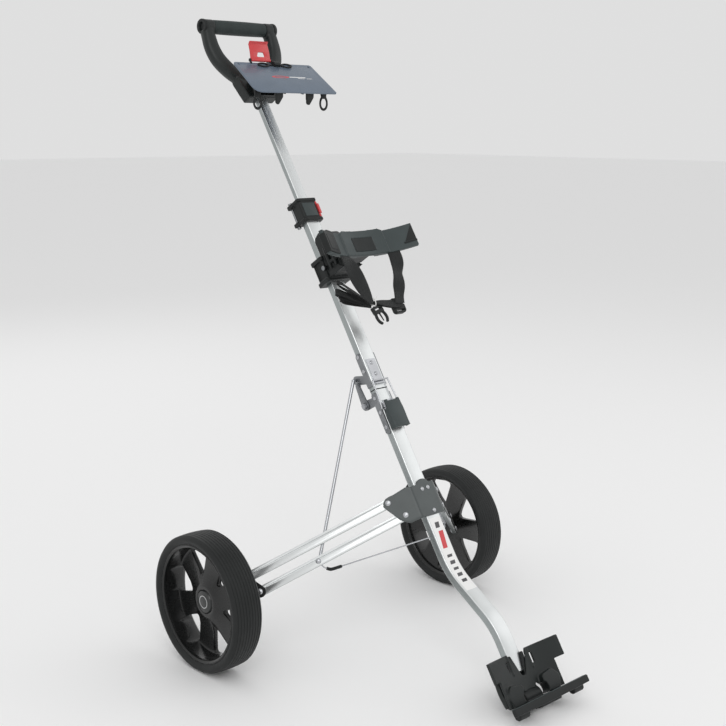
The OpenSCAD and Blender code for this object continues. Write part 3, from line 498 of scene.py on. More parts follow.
def make_tubes():
    path = [(0, y, z) for y, z in BENT]
    ob = piece("tube_lower", sweep(path, lambda i: round_rect(*TUBE_SIZE)), TUBE,
               ["alu", "alu_painted_shade"], "base", ["lower_tube"], "aluminium")
    paint_side_shade(ob)
    ob = mesh_object("tube_middle", *sweep([(0, 0, 576), (0, 0, 770), (0, 0, 962)],
                                           lambda i: round_rect(*TUBE_SIZE)))
    finish(ob, ["alu", "alu_painted_shade"], "upper", ["mid_tube"], "aluminium")
    paint_side_shade(ob)
    # handle tube: a shallow groove down one face
    ring = round_rect(*SLIM_SIZE)
    front = [(-4.5, -5.5), (-4.0, -4.9), (-2.6, -4.9), (-2.1, -5.5)]
    ring = ring[:15] + front + ring[15:]
    ob = piece("tube_handle", sweep([(0, 0, 880), (0, 0, 1060), (0, 0, 1240)], lambda i: ring), TUBE,
               ["alu", "alu_painted_shade"], "handle", ["handle_tube"], "aluminium")
    paint_side_shade(ob)


def strip_on_bend(z_top, z_bottom, x0, x1, lift, thick, slant=0.0):
    """A thin layer that follows the front face of the bent tube; slant leans it to one side."""
    dense = []
    for (y0, z0), (y1, z1) in zip(BENT, BENT[1:]):
        steps = max(1, int(hypot(y1 - y0, z1 - z0) / 1.5))
        dense += [Vector((0, y0 + (y1 - y0) * i / steps, z0 + (z1 - z0) * i / steps)) for i in range(steps)]
    rings = []
    for i, p in enumerate(dense):
        if not z_bottom <= p.z <= z_top:
            continue
        t = (dense[min(i + 1, len(dense) - 1)] - dense[i - 1]).normalized()
        nrm = Vector((0, t.z, -t.y))
        if nrm.y > 0:
            nrm = -nrm
        k = (p.z - z_bottom) / (z_top - z_bottom) - 0.5
        a, b = p + nrm * (8 + lift), p + nrm * (8 + lift + thick)
        sl = slant * k
        rings.append([a + Vector((x0 + sl, 0, 0)), a + Vector((x1 + sl, 0, 0)),
                      b + Vector((x1 + sl, 0, 0)), b + Vector((x0 + sl, 0, 0))])
    return cap_grid(rings)


def make_label():
    piece("tube_label", strip_on_bend(322, 176, -13.4, 13.4, 0.0, 0.15), TUBE, "label", "base", (), "aluminium")
    piece("tube_label_red", strip_on_bend(296, 262, -5.5, 5.5, 0.14, 0.12, 5), TUBE, "label_red", "base")
    dark = [strip_on_bend(312, 301, -5, 5, 0.14, 0.12, 2)]
    for i in range(5):
        z = 252 - 13 * i
        dark.append(strip_on_bend(z, z - 8, -6, 6, 0.14, 0.12, 2))
    piece("tube_label_bars", joined(dark), TUBE, "label_dark", "base")


# ---- leg bracket
def make_leg_bracket():
    """A folded plate: flat on the tube, rounded into two swept wings."""
    flat_x, radius, face_y, half_run = 25.0, 6.0, -9.3, 84.5
    ca, sa = cos(SWEEP), sin(SWEEP)
    bend = radius * SWEEP

    def line(p):
        """Point (x, y) at a run p across the plate."""
        s = 1 if p >= 0 else -1
        p = abs(p)
        if p <= flat_x:
            return s * p, face_y
        if p <= flat_x + bend:
            a = (p - flat_x) / radius
            return s * (flat_x + radius * sin(a)), face_y + radius * (1 - cos(a))
        k = p - flat_x - bend
        x, y = flat_x + radius * sa, face_y + radius * (1 - ca)
        return s * (x + k * ca), y + k * sa

    top = [(-1, 390), (0, 394), (10, 392), (15, 386), (20, 385.5), (28, 385), (36, 387.5), (50, 385),
           (62, 383), (68, 383), (76, 381.5), (82.5, 376.5), (half_run, 369)]
    low = [(-1, 326), (28, 326.5), (50, 325.5), (54, 327.7), (61, 332.9), (66, 339), (80.4, 361.3),
           (half_run, 369)]

    def value(table, p):
        for (a, u), (b, v) in zip(table, table[1:]):
            if a <= p <= b:
                return u + (v - u) * (p - a) / (b - a)
        return table[-1][1]

    rows = []
    half = [half_run * (1 - (1 - i / 60)) for i in range(61)]
    for p in sorted(set([-p for p in half] + half)):
        # the middle lobe is off centre on the flange
        t = value(top, abs(p)) if abs(p) > 20 else 385.5 + 8.5 * max(0, 1 - ((p - 3) / 14) ** 2) ** 0.5
        b = value(low, abs(p))
        t = max(t, b + 0.4)
        x, y = line(p)
        rows.append([(x, y, b + (t - b) * k / 14) for k in range(15)])
    verts, faces = cap_grid(rows, closed_ring=False, caps=False)
    ob = mesh_object("leg_bracket_plate", verts, faces)
    modify(ob, "SOLIDIFY", thickness=0.0024, offset=0)
    finish(ob, "grey_paint", "base", ["leg_bracket"], "grey_paint", bevel=0.5)


def make_arms(k):
    """Two flat bars with a fine drawn groove; the lower one carries the push rod's pin."""
    side, reach, thick = SIDES[k], ARM_REACH, ARM_THICK
    turn = Matrix.Rotation(SPREAD - pi / 2, 4, "Z")
    outline = []
    for end, start in ((reach, -0.5), (0, 0.5)):
        for i in range(15):
            a = pi * (i / 14 + start)
            outline.append((end + ARM_HALF * cos(a), ARM_HALF * sin(a)))
    for which, shift in (("lower", (0, 0, 0)), ("upper", (21.5, 31, 0))):
        m = wing(side) @ Matrix.Translation(shift) @ turn
        ob = mesh_object(which + "_arm_bar_" + LONG[k], *prism(outline, -thick / 2, thick / 2, "Z"), m)
        cuts = [box(14, reach - 14, 3.4, 4.0, -thick / 2 - 1, -thick / 2 + 0.6)]
        cuts += [rod((d, 0, -10), (d, 0, 10), PIN_R, 24) for d in (0, reach)]
        tool = mesh_object("arm_tool", *joined(cuts), m)
        cut_with(ob, tool)
        finish(ob, ["arm", "alu_painted_shade"], which + "_arm_" + LONG[k], [which + "_arm_" + k], "arm_aluminium",
                     bevel=0.5)
        flat = (wing(side) @ Vector((0, 0, 1, 0))).to_3d().normalized()
        inverse = m.inverted()
        # edges, narrow sides and the groove take the darker aluminium: painted shade
        for p in ob.data.polygons:
            c = inverse @ p.center
            if abs(p.normal.dot(flat)) < 0.5 or abs(c.z) < thick / 2 - 0.5:
                p.material_index = 1
        if which == "lower":
            head = [(0.01, -6.2), (2.4, -6.0), (4.2, -5.1), (5.0, -3.7), (3.3, -3.6), (3.3, 3.5), (0.01, 3.5)]
            pin = mesh_object("rod_pin_" + LONG[k], *lathe(head, 32), m @ Matrix.Translation((175, 0, 0)))
            finish(pin, "zinc", "lower_arm_" + LONG[k], (), "zinc_steel")


# ---- wheels
def wheel_matrix(side):
    """Wheel frame: Z outwards along the axle."""
    axis = joints["wheel_spin_" + ("left" if side < 0 else "right")]["pos_m"]
    return Matrix.Translation(axis) @ Matrix.Rotation(side * pi / 2, 4, "Y") @ MM


def tyre_profile():
    ri = TYRE_SEAT
    pts = [(ri, -25), (ri + 3, -27.5), (113, -29.4), (117, -30), (120.5, -29)]
    for z0 in (-24, -18, -12, -6, 0, 6, 12, 18, 24):
        crown = TYRE_R - 1.5 * (abs(z0) / 24) ** 2
        pts += [(crown, z0 - 1.2), (crown - 0.8, z0 - 0.6), (crown - 0.8, z0 + 0.6), (crown, z0 + 1.2)]
    pts += [(120.5, 29), (117, 30), (113, 29.4), (ri + 3, 27.5), (ri, 25)]
    return pts


def wheel_window_tool(count, phase):
    """Rounded triangles, wide at the rim."""
    tools = []
    for i in range(count):
        a0 = phase + (i + 0.5) * 2 * pi / count
        half = radians(11.5)
        centres = [(52, 0, 5.0), (RIM_R - 14, half, 7.5), (RIM_R - 14, -half, 7.5)]
        pts = []
        for rad, ang, r in centres:
            c = (rad * cos(ang), rad * sin(ang))
            pts += [(c[0] + r * cos(2 * pi * k / 20), c[1] + r * sin(2 * pi * k / 20))
                    for k in range(20)]
        hull = convex(pts)
        ca, sa = cos(a0), sin(a0)
        outline = [(x * ca - y * sa, x * sa + y * ca) for x, y in hull]
        tools.append(prism(outline, -40, 40, "Z"))
    return joined(tools)


def convex(points):
    """Convex outline round the points."""
    pts = sorted(set((round(x, 5), round(y, 5)) for x, y in points))

    def half(seq):
        out = []
        for p in seq:
            while len(out) > 1 and ((out[-1][0] - out[-2][0]) * (p[1] - out[-2][1])
                                    - (out[-1][1] - out[-2][1]) * (p[0] - out[-2][0])) <= 0:
                out.pop()
            out.append(p)
        return out[:-1]
    return half(pts) + half(pts[::-1])


def make_wheel(k):
    side = SIDES[k]
    m = wheel_matrix(side)
    body = "wheel_" + LONG[k]
    piece("tyre_" + LONG[k], lathe(tyre_profile(), 180), m, "tyre", body, ["tyre_" + k], "tyre", angle=40)
    ri = RIM_R
    dish = [(5.2, -31.5), (10, -31.5), (12, -16), (20, -14), (27, -9.5), (60, -12.5), (ri - 6, -16.5),
            (ri - 5, -22), (ri - 1.5, -25.5), (ri, -25.5), (ri, 25.5), (ri - 2.2, 26), (ri - 5.5, 24),
            (ri - 6.5, 18), (ri - 8.5, -5.5), (ri - 13, -7.5), (60, -4.5), (33, 3.0), (29, 5.5), (24, 6.0),
            (22, 5.5), (21.5, 3.0), (5.2, 3.0)]
    ob = mesh_object("rim_" + LONG[k], *lathe(dish, 144), m)
    phase = radians(51 if side < 0 else 24)
    tool = mesh_object("window_tool", *wheel_window_tool(6, phase), m)
    cut_with(ob, tool)
    finish(ob, "rim", body, ["rim_" + k], "rim_plastic", angle=32, bevel=0.7)
    cap = [(0.01, 3.1), (21, 3.1), (21, 5.2), (19.6, 7.4), (13, 8.9), (12.2, 8.5), (9.8, 8.5), (9.0, 9.3),
           (0.01, 9.9)]
    piece("hub_" + LONG[k], lathe(cap, 72), m, "hub", body, ["hub_cap_" + k], "grey_plastic", angle=28)
    line = [(10.3, 8.45), (11.7, 8.45), (11.7, 8.8), (10.3, 8.8)]
    piece("hub_ring_" + LONG[k], lathe(line, 72), m, "hub_line", body, (), "grey_plastic")


# ---- handle
def make_handle():
    arm = smooth_path([(76, -14.5, 1351), (76.5, -12, 1332), (75.5, -8, 1308), (68, -4.5, 1285),
                       (52, -2, 1264), (35, -1, 1248), (17, -0.5, 1236), (0, -0.5, 1229)], 5)
    n = len(arm) - 1

    def section(i):
        k = i / n
        return super_ring(11.5 + 3.5 * sin(pi * min(1, k * 1.1)), 12.2, 2.7)
    solid = sweep(arm, section, Vector((0.8, 0, 0.6)))
    hub = prism([(-35, 1197.5), (35, 1197.5), (40, 1216), (46, 1240), (30, 1254), (-30, 1254), (-46, 1240),
                 (-40, 1216)], -11.5, 10.5, "Y")
    hub2 = prism([(-33, 1199), (33, 1199), (37, 1216), (40, 1236), (-40, 1236), (-37, 1216)], -12.4, 11.4, "Y")
    solids = [solid, mirrored(solid), hub, hub2]
    for s in (-1, 1):
        solids.append(rod((s * 63, *GRIP_AT[1:]), (s * 82, *GRIP_AT[1:]), 14.0, 40))
    cuts = [rod((s * 60, *GRIP_AT[1:]), (s * 90, *GRIP_AT[1:]), 8.2, 32) for s in (-1, 1)]
    moulded("handle_yoke", solids, cuts, 1.3, 5,
            "soft_black", "handle", ["handle_frame"], angle=60)
    grip = [(8.0, -62.6), (12.4, -62.6), (13.3, -61.4), (13.5, -56), (13.9, -20), (13.9, 20), (13.5, 56),
            (13.3, 61.4), (12.4, 62.6), (8.0, 62.6)]
    turn = TUBE @ Matrix.Translation(GRIP_AT) @ Matrix.Rotation(pi / 2, 4, "Y")
    ob = piece("grip_foam", lathe(grip, 64), turn, "foam", "handle", ["grip_sleeve"], "foam", angle=40)
    ring = []
    for z in (-1, 1):
        prof = [(7.4, 82.2), (13.6, 82.2), (14.5, 83.2), (14.5, 87.2), (13.6, 88.4), (9.6, 88.4), (8.6, 87.4),
                (8.2, 84.0), (0.01, 84.0), (0.01, 83.0), (7.4, 83.0)]
        ring.append(lathe([(r, z * h) for r, h in prof], 56))
    piece("grip_end_rings", joined(ring), turn, "black", "handle", ["grip_core"], angle=40)


def rounded_outline(corners, steps=6):
    """corners: (x, y, radius) in order; each corner becomes an arc."""
    out = []
    n = len(corners)
    for i, (x, y, r) in enumerate(corners):
        p = Vector((x, y))
        a = (Vector(corners[i - 1][:2]) - p).normalized()
        b = (Vector(corners[(i + 1) % n][:2]) - p).normalized()
        half = acos(max(-1, min(1, a.dot(b)))) / 2
        if r <= 0 or half < 1e-3:
            out.append((x, y))
            continue
        d = r / tan(half)
        c = p + (a + b).normalized() * (r / sin(half))
        s, e = p + a * d - c, p + b * d - c
        a0, a1 = atan2(s.y, s.x), atan2(e.y, e.x)
        while a1 - a0 > pi:
            a1 -= 2 * pi
        while a1 - a0 < -pi:
            a1 += 2 * pi
        for k in range(steps + 1):
            t = a0 + (a1 - a0) * k / steps
            out.append((c.x + r * cos(t), c.y + r * sin(t)))
    return out


def make_card_plate():
    edge = rounded_outline([(-94, 0, 6), (94, 0, 5), (98.5, -94, 4), (-98.5, -94, 16)])
    plate = prism(edge, -PLATE_THICK, 0.0, "Y")
    ob = mesh_object("card_plate", *plate, CARD)
    holes = [rod((s * 85, -9, -7), (s * 85, 4, -7), 2.6, 20) for s in (-1, 1)]
    tool = mesh_object("card_tool", *joined(holes), CARD)
    cut_with(ob, tool)
    finish(ob, "card", "handle", ["scorecard_plate"], "card_plastic", bevel=0.7)
    # generic accent: a red oval ring and three pale bars
    rings = []
    for rx, rz, y in ((21, 3.6, -PLATE_THICK), (21, 3.6, -PLATE_PRINT),
                      (15, 2.0, -PLATE_PRINT), (15, 2.0, -PLATE_THICK)):
        rings.append([(-10 + rx * cos(a), y, -45 + rz * sin(a))
                      for a in [2 * pi * i / 40 for i in range(40)]])
    ring = cap_grid(rings, closed_path=True, caps=False)
    piece("card_accent_red", ring, CARD, "label_red", "handle")
    bars = [prism(rounded_outline([(x0, z0, 1), (x1, z0, 1), (x1, z1, 1), (x0, z1, 1)], 3),
                  -PLATE_PRINT, -PLATE_THICK, "Y")
            for x0, x1, z0, z1 in ((12, 52, -43.4, -45.6), (52, 66, -47.4, -49.0), (30, 48, -47.4, -49.0))]
    piece("card_accent_pale", joined(bars), CARD, "label", "handle")


def make_tee_holders():
    def hoop(a, b):
        rad, sn = 8.6 + 2.1 * cos(b), sin(a)
        return rad * cos(a), 2.1 * sin(b), rad * sn * (1.32 if sn < 0 else 1.5)

    parts = []
    for s in (-1, 1):
        m = Matrix.Translation((s * 80.7, -75, 1142)) @ Matrix.Rotation(LEAN, 4, "X")
        parts.append(moved(ring_of(32, 10, hoop), m))
        neck = prism([(-5, 9), (5, 9), (9, 27), (-9, 27)], -2, 2, "Y")
        parts.append(moved(neck, m))
        m = Matrix.Translation((s * 37.5, -84, 1139)) @ Matrix.Rotation(LEAN, 4, "X")
        fin = prism(rounded_outline([(-9, 24, 1), (-7.5, -3, 4), (-2, -7, 3), (9, 8, 4), (10, 24, 1)]),
                    -2.4, 2.4, "Y")
        parts.append(moved(fin, m))
    above_plate = moved(box(-150, 150, -60, 0.3, -200, 60), CARD_IN_TUBE)
    moulded("tee_holders_moulded", parts, [above_plate], 0.8, 2,
            "black", "handle", ["tee_holders"], angle=60)


def make_card_clip():
    parts = [box(-4.2, 10.8, -9.2, -3.2, -12, -1), box(-3, 9.6, -10.2, -3.2, -9.5, -3.5)]
    for s in (-1, 1):
        parts.append(ring_of(36, 10, lambda a, b: (
            (9.2 + 1.7 * cos(b)) * cos(a) * 1.25 + s * 28, -4.6 + 1.5 * sin(b),
            (5.2 + 1.7 * cos(b)) * sin(a) - 8)))
    parts.append(box(-18, 18, -5.4, -3.2, -9.5, -6.5))
    for x in (-54.9, -5.1):
        parts.append(rod((x, *CLIP_AT[1:]), (x + 3, *CLIP_AT[1:]), 3.1, 20))
        parts.append(box(x, x + 3, -6, -3.1, -4, 5))
    moulded("card_clip_frame", parts, (), 0.7, 2,
            "black", "handle", ["card_clip_base"], angle=60, matrix=CARD)
    # red clip: a curved flap with a four-cornered window
    m = CARD @ Matrix.Translation(CLIP_AT) @ Matrix.Rotation(radians(38), 4, "X")
    rings = []
    for i in range(25):
        k = i / 24
        z = 1.5 + 33.5 * k
        y = -2.4 * sin(pi * k) * 0.6 - 5.0 * max(0, k - 0.86) / 0.14
        half, mid = 23.0 - 1.2 * k, -28.5
        rings.append([(mid - half, y + 1.2, z), (mid + half, y + 1.2, z), (mid + half, y - 1.2, z),
                      (mid - half, y - 1.2, z)])
    ob = mesh_object("red_flap", *cap_grid(rings), m)
    window = prism(rounded_outline([(-37, 6, 2), (-17, 6, 2), (-20, 15, 2), (-33, 15, 2)]), -15, 15, "Y")
    cut_with(ob, mesh_object("flap_tool", *window, m))
    finish(ob, "red", "card_clip", ["red_clip"], bevel=0.6, angle=40)
    barrel = mesh_object("red_flap_barrel", *rod((-51.5, 0, 0), (-5.5, 0, 0), 3.0, 28), m)
    finish(barrel, "red", "card_clip", bevel=0.4)


for step in (make_tubes, make_label, make_leg_bracket, make_handle, make_card_plate, make_tee_holders,
             make_card_clip):
    step()
for key in SIDES:
    make_wheel(key)
    make_arms(key)

# ---- cradle
BAND_R, BAND_H, CLAMP = 217.0, 105.0, 797.0


def on_arc(x, lift, s):
    """Point of the cradle's curve; lift goes towards the tube."""
    r = BAND_R + lift
    a = asin(x / BAND_R)
    return (r * sin(a), -(BAND_H + BAND_R) + r * cos(a), s)


def arc_slab(x0, x1, lo, hi, bottom, top, n=40):
    """Curved slab; bottom and top are heights above the clamp's lower edge, as numbers or functions of x."""
    rings = []
    for i in range(n + 1):
        x = x0 + (x1 - x0) * i / n
        a, b = (CLAMP + (h(x) if callable(h) else h) for h in (bottom, top))
        rings.append([on_arc(x, lo, a), on_arc(x, hi, a), on_arc(x, hi, b), on_arc(x, lo, b)])
    return cap_grid(rings)


def make_cradle():
    def top(x):
        return 45.5 + 4.5 * min(1.0, max(0.0, (52 - abs(x)) / 8))

    def flare(x):
        return 3 + max(0.0, (abs(x) - 92) * 1.6)

    def block_top(x):
        k = (abs(x) - 74) / 35
        return 47 - 9 * max(0.0, k - 0.55) ** 1.5 * 3 - 6 * max(0.0, 0.2 - k) * 2

    parts = [arc_slab(-109, 109, -0.4, 3.2, 0, 45.5),
             arc_slab(-52, 52, -3.0, 3.2, 1, top),
             arc_slab(-109, 109, 0, 8, 0, 3.2),
             arc_slab(-109, 109, 0, 7.5, 42.5, 45.5)]
    for x in (-107, -82, -60, 60, 82, 107):
        parts.append(arc_slab(x - 1.3, x + 1.3, 0, 7.5, 0, 45.5, 2))
    for s in (-1, 1):
        # three-cornered flare closing each end
        parts.append(arc_slab(*span(s, 92, 109), 0, 6, 0, flare, 12))
    cuts = [arc_slab(-26.4, 26.4, -8, -1.6, 7.6, 36.4, 12)]
    cuts.append(box(-22.5, 22.5, -102, -80, CLAMP - 5, CLAMP + 60))
    moulded("cradle_band_moulded", parts, cuts, 0.9, 2,
            "band", "upper", ["cradle_band"], angle=50)
    block = [arc_slab(-109.5, -74, -2.6, 9.5, 2, block_top, 16),
             arc_slab(-104, -80, -3.6, -2, 8, lambda x: block_top(x) - 7, 10)]
    moulded("cradle_end_near", block, (), 0.9, 4,
            "black", "upper", angle=60)
    gusset = arc_slab(89, 108.4, -1.0, -0.3, 13, lambda x: 13.5 + (x - 89) * 1.55, 10)
    piece("cradle_end_far", joined([gusset, arc_slab(86, 109, -1.6, -0.3, 9, 12, 10)]), TUBE,
          "black", "upper")
    pad = arc_slab(-25.6, 25.6, -2.6, -1.4, 8.4, 35.6, 14)
    ob = piece("cradle_pad_inset", pad, TUBE, "pad", "upper", ["cradle_pad"], "pad_rubber", bevel=0.5)

    solids = [shifted(prism(round_rect(54, 30, 4), CLAMP, CLAMP + 48, "Z"), 0, -2, 0)]
    for w, d, lo, hi in ((60, 36, -3, 5), (59, 35, 40, 48)):
        solids.append(shifted(prism(round_rect(w, d, 5), CLAMP + lo, CLAMP + hi, "Z"), 0, -2, 0))
    side = rounded_outline([(-12, CLAMP + 2, 2), (-12, CLAMP + 84, 9), (-34, CLAMP + 92, 10),
                            (-58, CLAMP + 62, 12),
                            (-70, CLAMP + 52, 6), (-70, CLAMP + 10, 4), (-40, CLAMP + 3, 6)], 6)
    solids.append(prism(side, -21, 21, "X"))
    solids.append(box(-20, 20, -101.4, -64, CLAMP + 6, CLAMP + 39))
    for y in (-38, -54):
        solids.append(shifted(prism(round_rect(60, 6, 2.5), CLAMP + 14, CLAMP + 57, "Z"), 0, y + 3, 0))
    for s in (-1, 1):
        rib = rounded_outline([(-17, CLAMP + 3, 1), (-64, CLAMP + 3, 1), (-30, CLAMP + 30, 2)], 3)
        solids.append(prism(rib, s * 22 - 2, s * 22 + 2, "X"))
        solids.append(box(*span(s, 20, 27), -58, -38, CLAMP + 24, CLAMP + 30))
    cuts = [prism(round_rect(*TUBE_HOLE), CLAMP - 20, CLAMP + 120, "Z"),
            rod((-50, -16.5, CLAMP + 24), (50, -16.5, CLAMP + 24), 3.0, 20)]
    for s in (-1, 1):
        cuts.append(box(s * 17 - 2.6, s * 17 + 2.6, -74, -40, CLAMP + 18, CLAMP + 42))
        cuts.append(box(s * 27 - 0.7, s * 27 + 3, -12, 8, CLAMP + 8, CLAMP + 40))
    moulded("cradle_clamp_moulded", solids, cuts, 1.0, 2,
            "black", "upper", ["cradle_clamp"], angle=50)


def ribbon(name, stations, thick, per):
    """Flat webbing: stations are (centre, side direction, half width); UV in metres."""
    cen = smooth_path([s[0] for s in stations], per)
    sid = smooth_path([s[1] for s in stations], per)
    wid = smooth_path([(s[2], 0, 0) for s in stations], per)
    across = [-1 + 2 * k / 10 for k in range(11)]
    rings, uvs, run = [], [], 0.0
    for i, c in enumerate(cen):
        t = (cen[min(i + 1, len(cen) - 1)] - cen[max(i - 1, 0)]).normalized()
        s = sid[i].normalized()
        s = (s - t * s.dot(t)).normalized()
        n = t.cross(s)
        if i:
            run += (c - cen[i - 1]).length
        w = wid[i].x
        front, rear = [], []
        for u in across:
            h = thick / 2 * (1 if abs(u) < 0.99 else 0.35)
            ripple = n * (0.35 * sin(run * 0.11 + u * 2.2))
            front.append(c + s * w * u + n * h + ripple)
            rear.append(c + s * w * u - n * h + ripple)
        rings.append(front + rear[::-1])
        uvs += [(u * w / 1000, run / 1000) for u in across + across[::-1]]
    ob = mesh_object(name, *cap_grid(rings))
    layer = ob.data.uv_layers.new(name="weave")
    for loop in ob.data.loops:
        layer.data[loop.index].uv = uvs[loop.vertex_index]
    return ob


def strap(name, stations, nodes=(), thick=1.6, per=8):
    finish(ribbon(name, stations, thick, per), "web", "upper", nodes, "webbing")


def make_straps():
    tie = Vector((0, -74, 717))
    near = [((-60, -109, 812), (1, 0.25, 0), 13.5), ((-59, -111, 797), (1, 0.25, 0), 13.5),
            ((-54, -110, 780), (1, 0.0, 0.0), 14.0), ((-42, -102, 759), (1, -0.3, 0.1), 14.0),
            ((-26, -90, 739), (1, -0.4, 0.3), 12.0), ((-11, -80, 724), (0.8, -0.3, 0.6), 7.5),
            ((-2, -75, 718), (0.6, 0.0, 0.8), 4.0)]
    strap("strap_near_webbing", near, ["strap_near"])
    second = [((p[0] + 3, p[1] + 3.2, p[2] - 1.0), s, w * 0.92) for p, s, w in near[2:]]
    strap("strap_near_double", second, thick=1.4)
    far = [((62, -108, 812), (1, -0.25, 0), 13.5), ((62, -111, 797), (1, -0.25, 0), 13.5),
           ((63, -108, 778), (1, -0.3, 0), 13.5), ((61, -100, 757), (1, 0.1, 0.1), 13.0),
           ((63, -90, 739), (1, -0.3, 0), 12.5), ((60, -83, 722), (1, 0, 0), 12.0),
           ((58, -79, 708), (1, 0, 0.1), 11.5)]
    strap("strap_far_webbing", far, ["strap_far"], 2.0)
    low = [((64, -76, 711), (0, 0.2, 1), 8.5), ((50, -76, 709), (0, 0.1, 1), 8.5),
           ((34, -76, 711), (0, 0.2, 1), 7.5), ((18, -76, 714), (0, 0.3, 1), 6.8),
           ((7, -75, 716), (0, 0.4, 1), 5.0), ((1, -74, 717), (0, 0.5, 1), 3.5)]
    strap("strap_cross_webbing", low, thick=2.6)
    strap("strap_cross_double", [((p[0], p[1] + 3.4, p[2] - 1.2), s, w * 0.9) for p, s, w in low])
    # spare webbing folded into three flat loops, gathered by the tie
    for k, (tip, w) in enumerate((((-40, -46, 776), 8), ((-44, -38, 761), 9), ((-36, -33, 749), 9))):
        root = tie + Vector((-3, 3 + 2.2 * k, -1 - 2.5 * k))
        d = Vector(tip) - root
        side = Vector((0.35, 0.55, 0.75)) if k != 1 else Vector((0.5, 0.3, 0.8))
        n = d.normalized().cross(side.normalized()).normalized()
        line = []
        for f, b in ((0.0, 0.0), (0.3, 1.2), (0.62, 2.2), (0.88, 2.9), (1.0, 0.0), (0.88, -2.9), (0.62, -2.2),
                     (0.3, -1.2), (0.0, 0.0)):
            line.append((root + d * f + n * b, side, 3.2 + (w - 3.2) * min(1.0, f * 1.5)))
        strap("strap_loop_%d" % (k + 1), line, ["strap_bundle"] if k == 0 else (), 1.4, 6)

    def loop(a, b):
        c = Vector((0.3 * cos(a), 6.2 * cos(a), 7.4 * sin(a)))
        return tie + c * (1 + 0.10 * cos(b)) + Vector((1.0 * sin(b), 0, 0))
    knot = tie + Vector((0, -6.4, 1))
    ends = [rod(knot, tie + Vector(p), 0.7, 10) for p in ((5, -9, 8), (-4, -10, 5))]
    piece("tie_band", joined([ring_of(36, 8, loop), *ends]), TUBE,
          "tie", "upper", ["strap_tie"], "tie_wire", angle=50)
    # male half of the buckle hangs under the tie
    m = Matrix.Translation((5, -71, 702)) @ Matrix.Rotation(radians(-14), 4, "Y")
    body = prism(rounded_outline([(-12, -6, 2), (-12, 9, 3), (12, 9, 3), (12, -6, 2)]), -4, 4, "Y")
    parts = [moved(body, m)]
    for x, bow in ((-9.5, -2.5), (9.5, 2.5)):
        line = [(x, 0, -4), (x + bow, 0, -12), (x + bow * 0.7, 0, -20), (x * 0.72, 0, -26)]
        parts.append(moved(sweep(smooth_path(line, 5), lambda i: super_ring(2.6, 2.8, 2.6, 14)), m))
    parts.append(moved(rod((0, 0, -4), (0, 0, -22), 1.8, 14, 1.2), m))
    moulded("buckle_male_moulded", parts, [moved(box(-8.5, 8.5, -8, 8, 1, 4.2), m)], 0.7, 2,
            "black", "upper", ["buckle_male"], angle=50)
    m = Matrix.Translation((59, -70, 706))
    shell = prism(rounded_outline([(-14, -15, 6), (-14, 15, 4), (14, 15, 4), (14, -15, 6)]), -4.6, 4.6, "Y")
    cut = [moved(box(-9.5, 9.5, -2.6, 2.6, -6, 30), m), moved(box(-10, 10, -8, 8, -11.5, -8), m),
           moved(rod((-16, 0, 3), (-11, 0, 3), 4.6, 20), m), moved(rod((11, 0, 3), (16, 0, 3), 4.6, 20), m)]
    moulded("buckle_female_moulded", [moved(shell, m)], cut, 0.7, 2,
            "black", "upper", ["buckle_female"], angle=50)


def make_collar():
    solids = [prism(round_rect(41, 25, 4), 926, 970, "Z"), prism(round_rect(47, 30, 5), 924, 930, "Z"),
              prism(round_rect(47, 30, 5), 965, 971, "Z")]
    for s in (924, 962):
        solids.append(box(-25.5, -13, 7, 19.5, s, s + 8))
    cuts = [prism(round_rect(*TUBE_HOLE), 900, 962.1, "Z"), prism(round_rect(24.2, 11.2, 2.2), 900, 1000, "Z"),
            box(18, 40, -13, 13, 931.5, 964.5), box(-15.5, 15.5, -16, -12.1, 933, 962)]
    moulded("collar_moulded", solids, cuts, 0.9, 2,
            "black", "upper", ["collar_body"], angle=50)
    m = Matrix.Translation((0, 0, 947.5)) @ Matrix.Rotation(radians(90), 4, "X")
    piece("collar_face", moved(prism(round_rect(30, 28, 1.5), 12.0, 12.9, "Z"), m), TUBE,
          "band", "upper", bevel=0.3)
    lever = [rod((21.7, 9, 932), (21.7, 9, 964), 3.3, 24),
             prism(rounded_outline([(19.2, -12, 1.5), (23.8, -12, 2), (24.8, 9, 2), (19.4, 9, 1)], 4),
                   932, 964, "Z"),
             prism(rounded_outline([(19.4, -14.6, 1), (25.4, -14.6, 2), (25.0, -8, 1), (19.4, -8, 1)], 4),
                   938, 958, "Z")]
    moulded("collar_lever_moulded", lever, (), 0.6, 2,
            "red", "collar_lever", ["collar_lever"], angle=50)


def make_latch_cover():
    top, low = 548.5, 493.5
    rings = []
    for i in range(25):
        k = i / 24
        s = low + (top - low) * k
        half = 18.6 - 0.8 * k
        out = 24.0 + 1.6 * sin(pi * k) + (2.2 * (1 - k / 0.12) if k < 0.12 else 0)
        rings.append([(x, -out + 1.4 * (x / half) ** 2, s) for x in [half * (-1 + 2 * j / 8) for j in range(9)]]
                     + [(x, -18.8, s) for x in [half * (1 - 2 * j / 8) for j in range(9)]])
    solids = [cap_grid(rings)]
    for s in (-1, 1):
        wall = rounded_outline([(-24, low, 2), (-12, low, 3), (-11, low + 28, 4), (-15, top - 16, 3),
                                (-24, top - 16, 2)], 5)
        solids.append(prism(wall, *span(s, 15.7, 18.6), "X"))
    cuts = [box(-11.8, 11.8, -40, 0, 545.5, 560), box(-8, 8, -30, -25.2, 538, 541)]
    moulded("latch_cover_moulded", solids, cuts, 0.8, 2,
            "band", "latch", ["lever_cover"], angle=50)


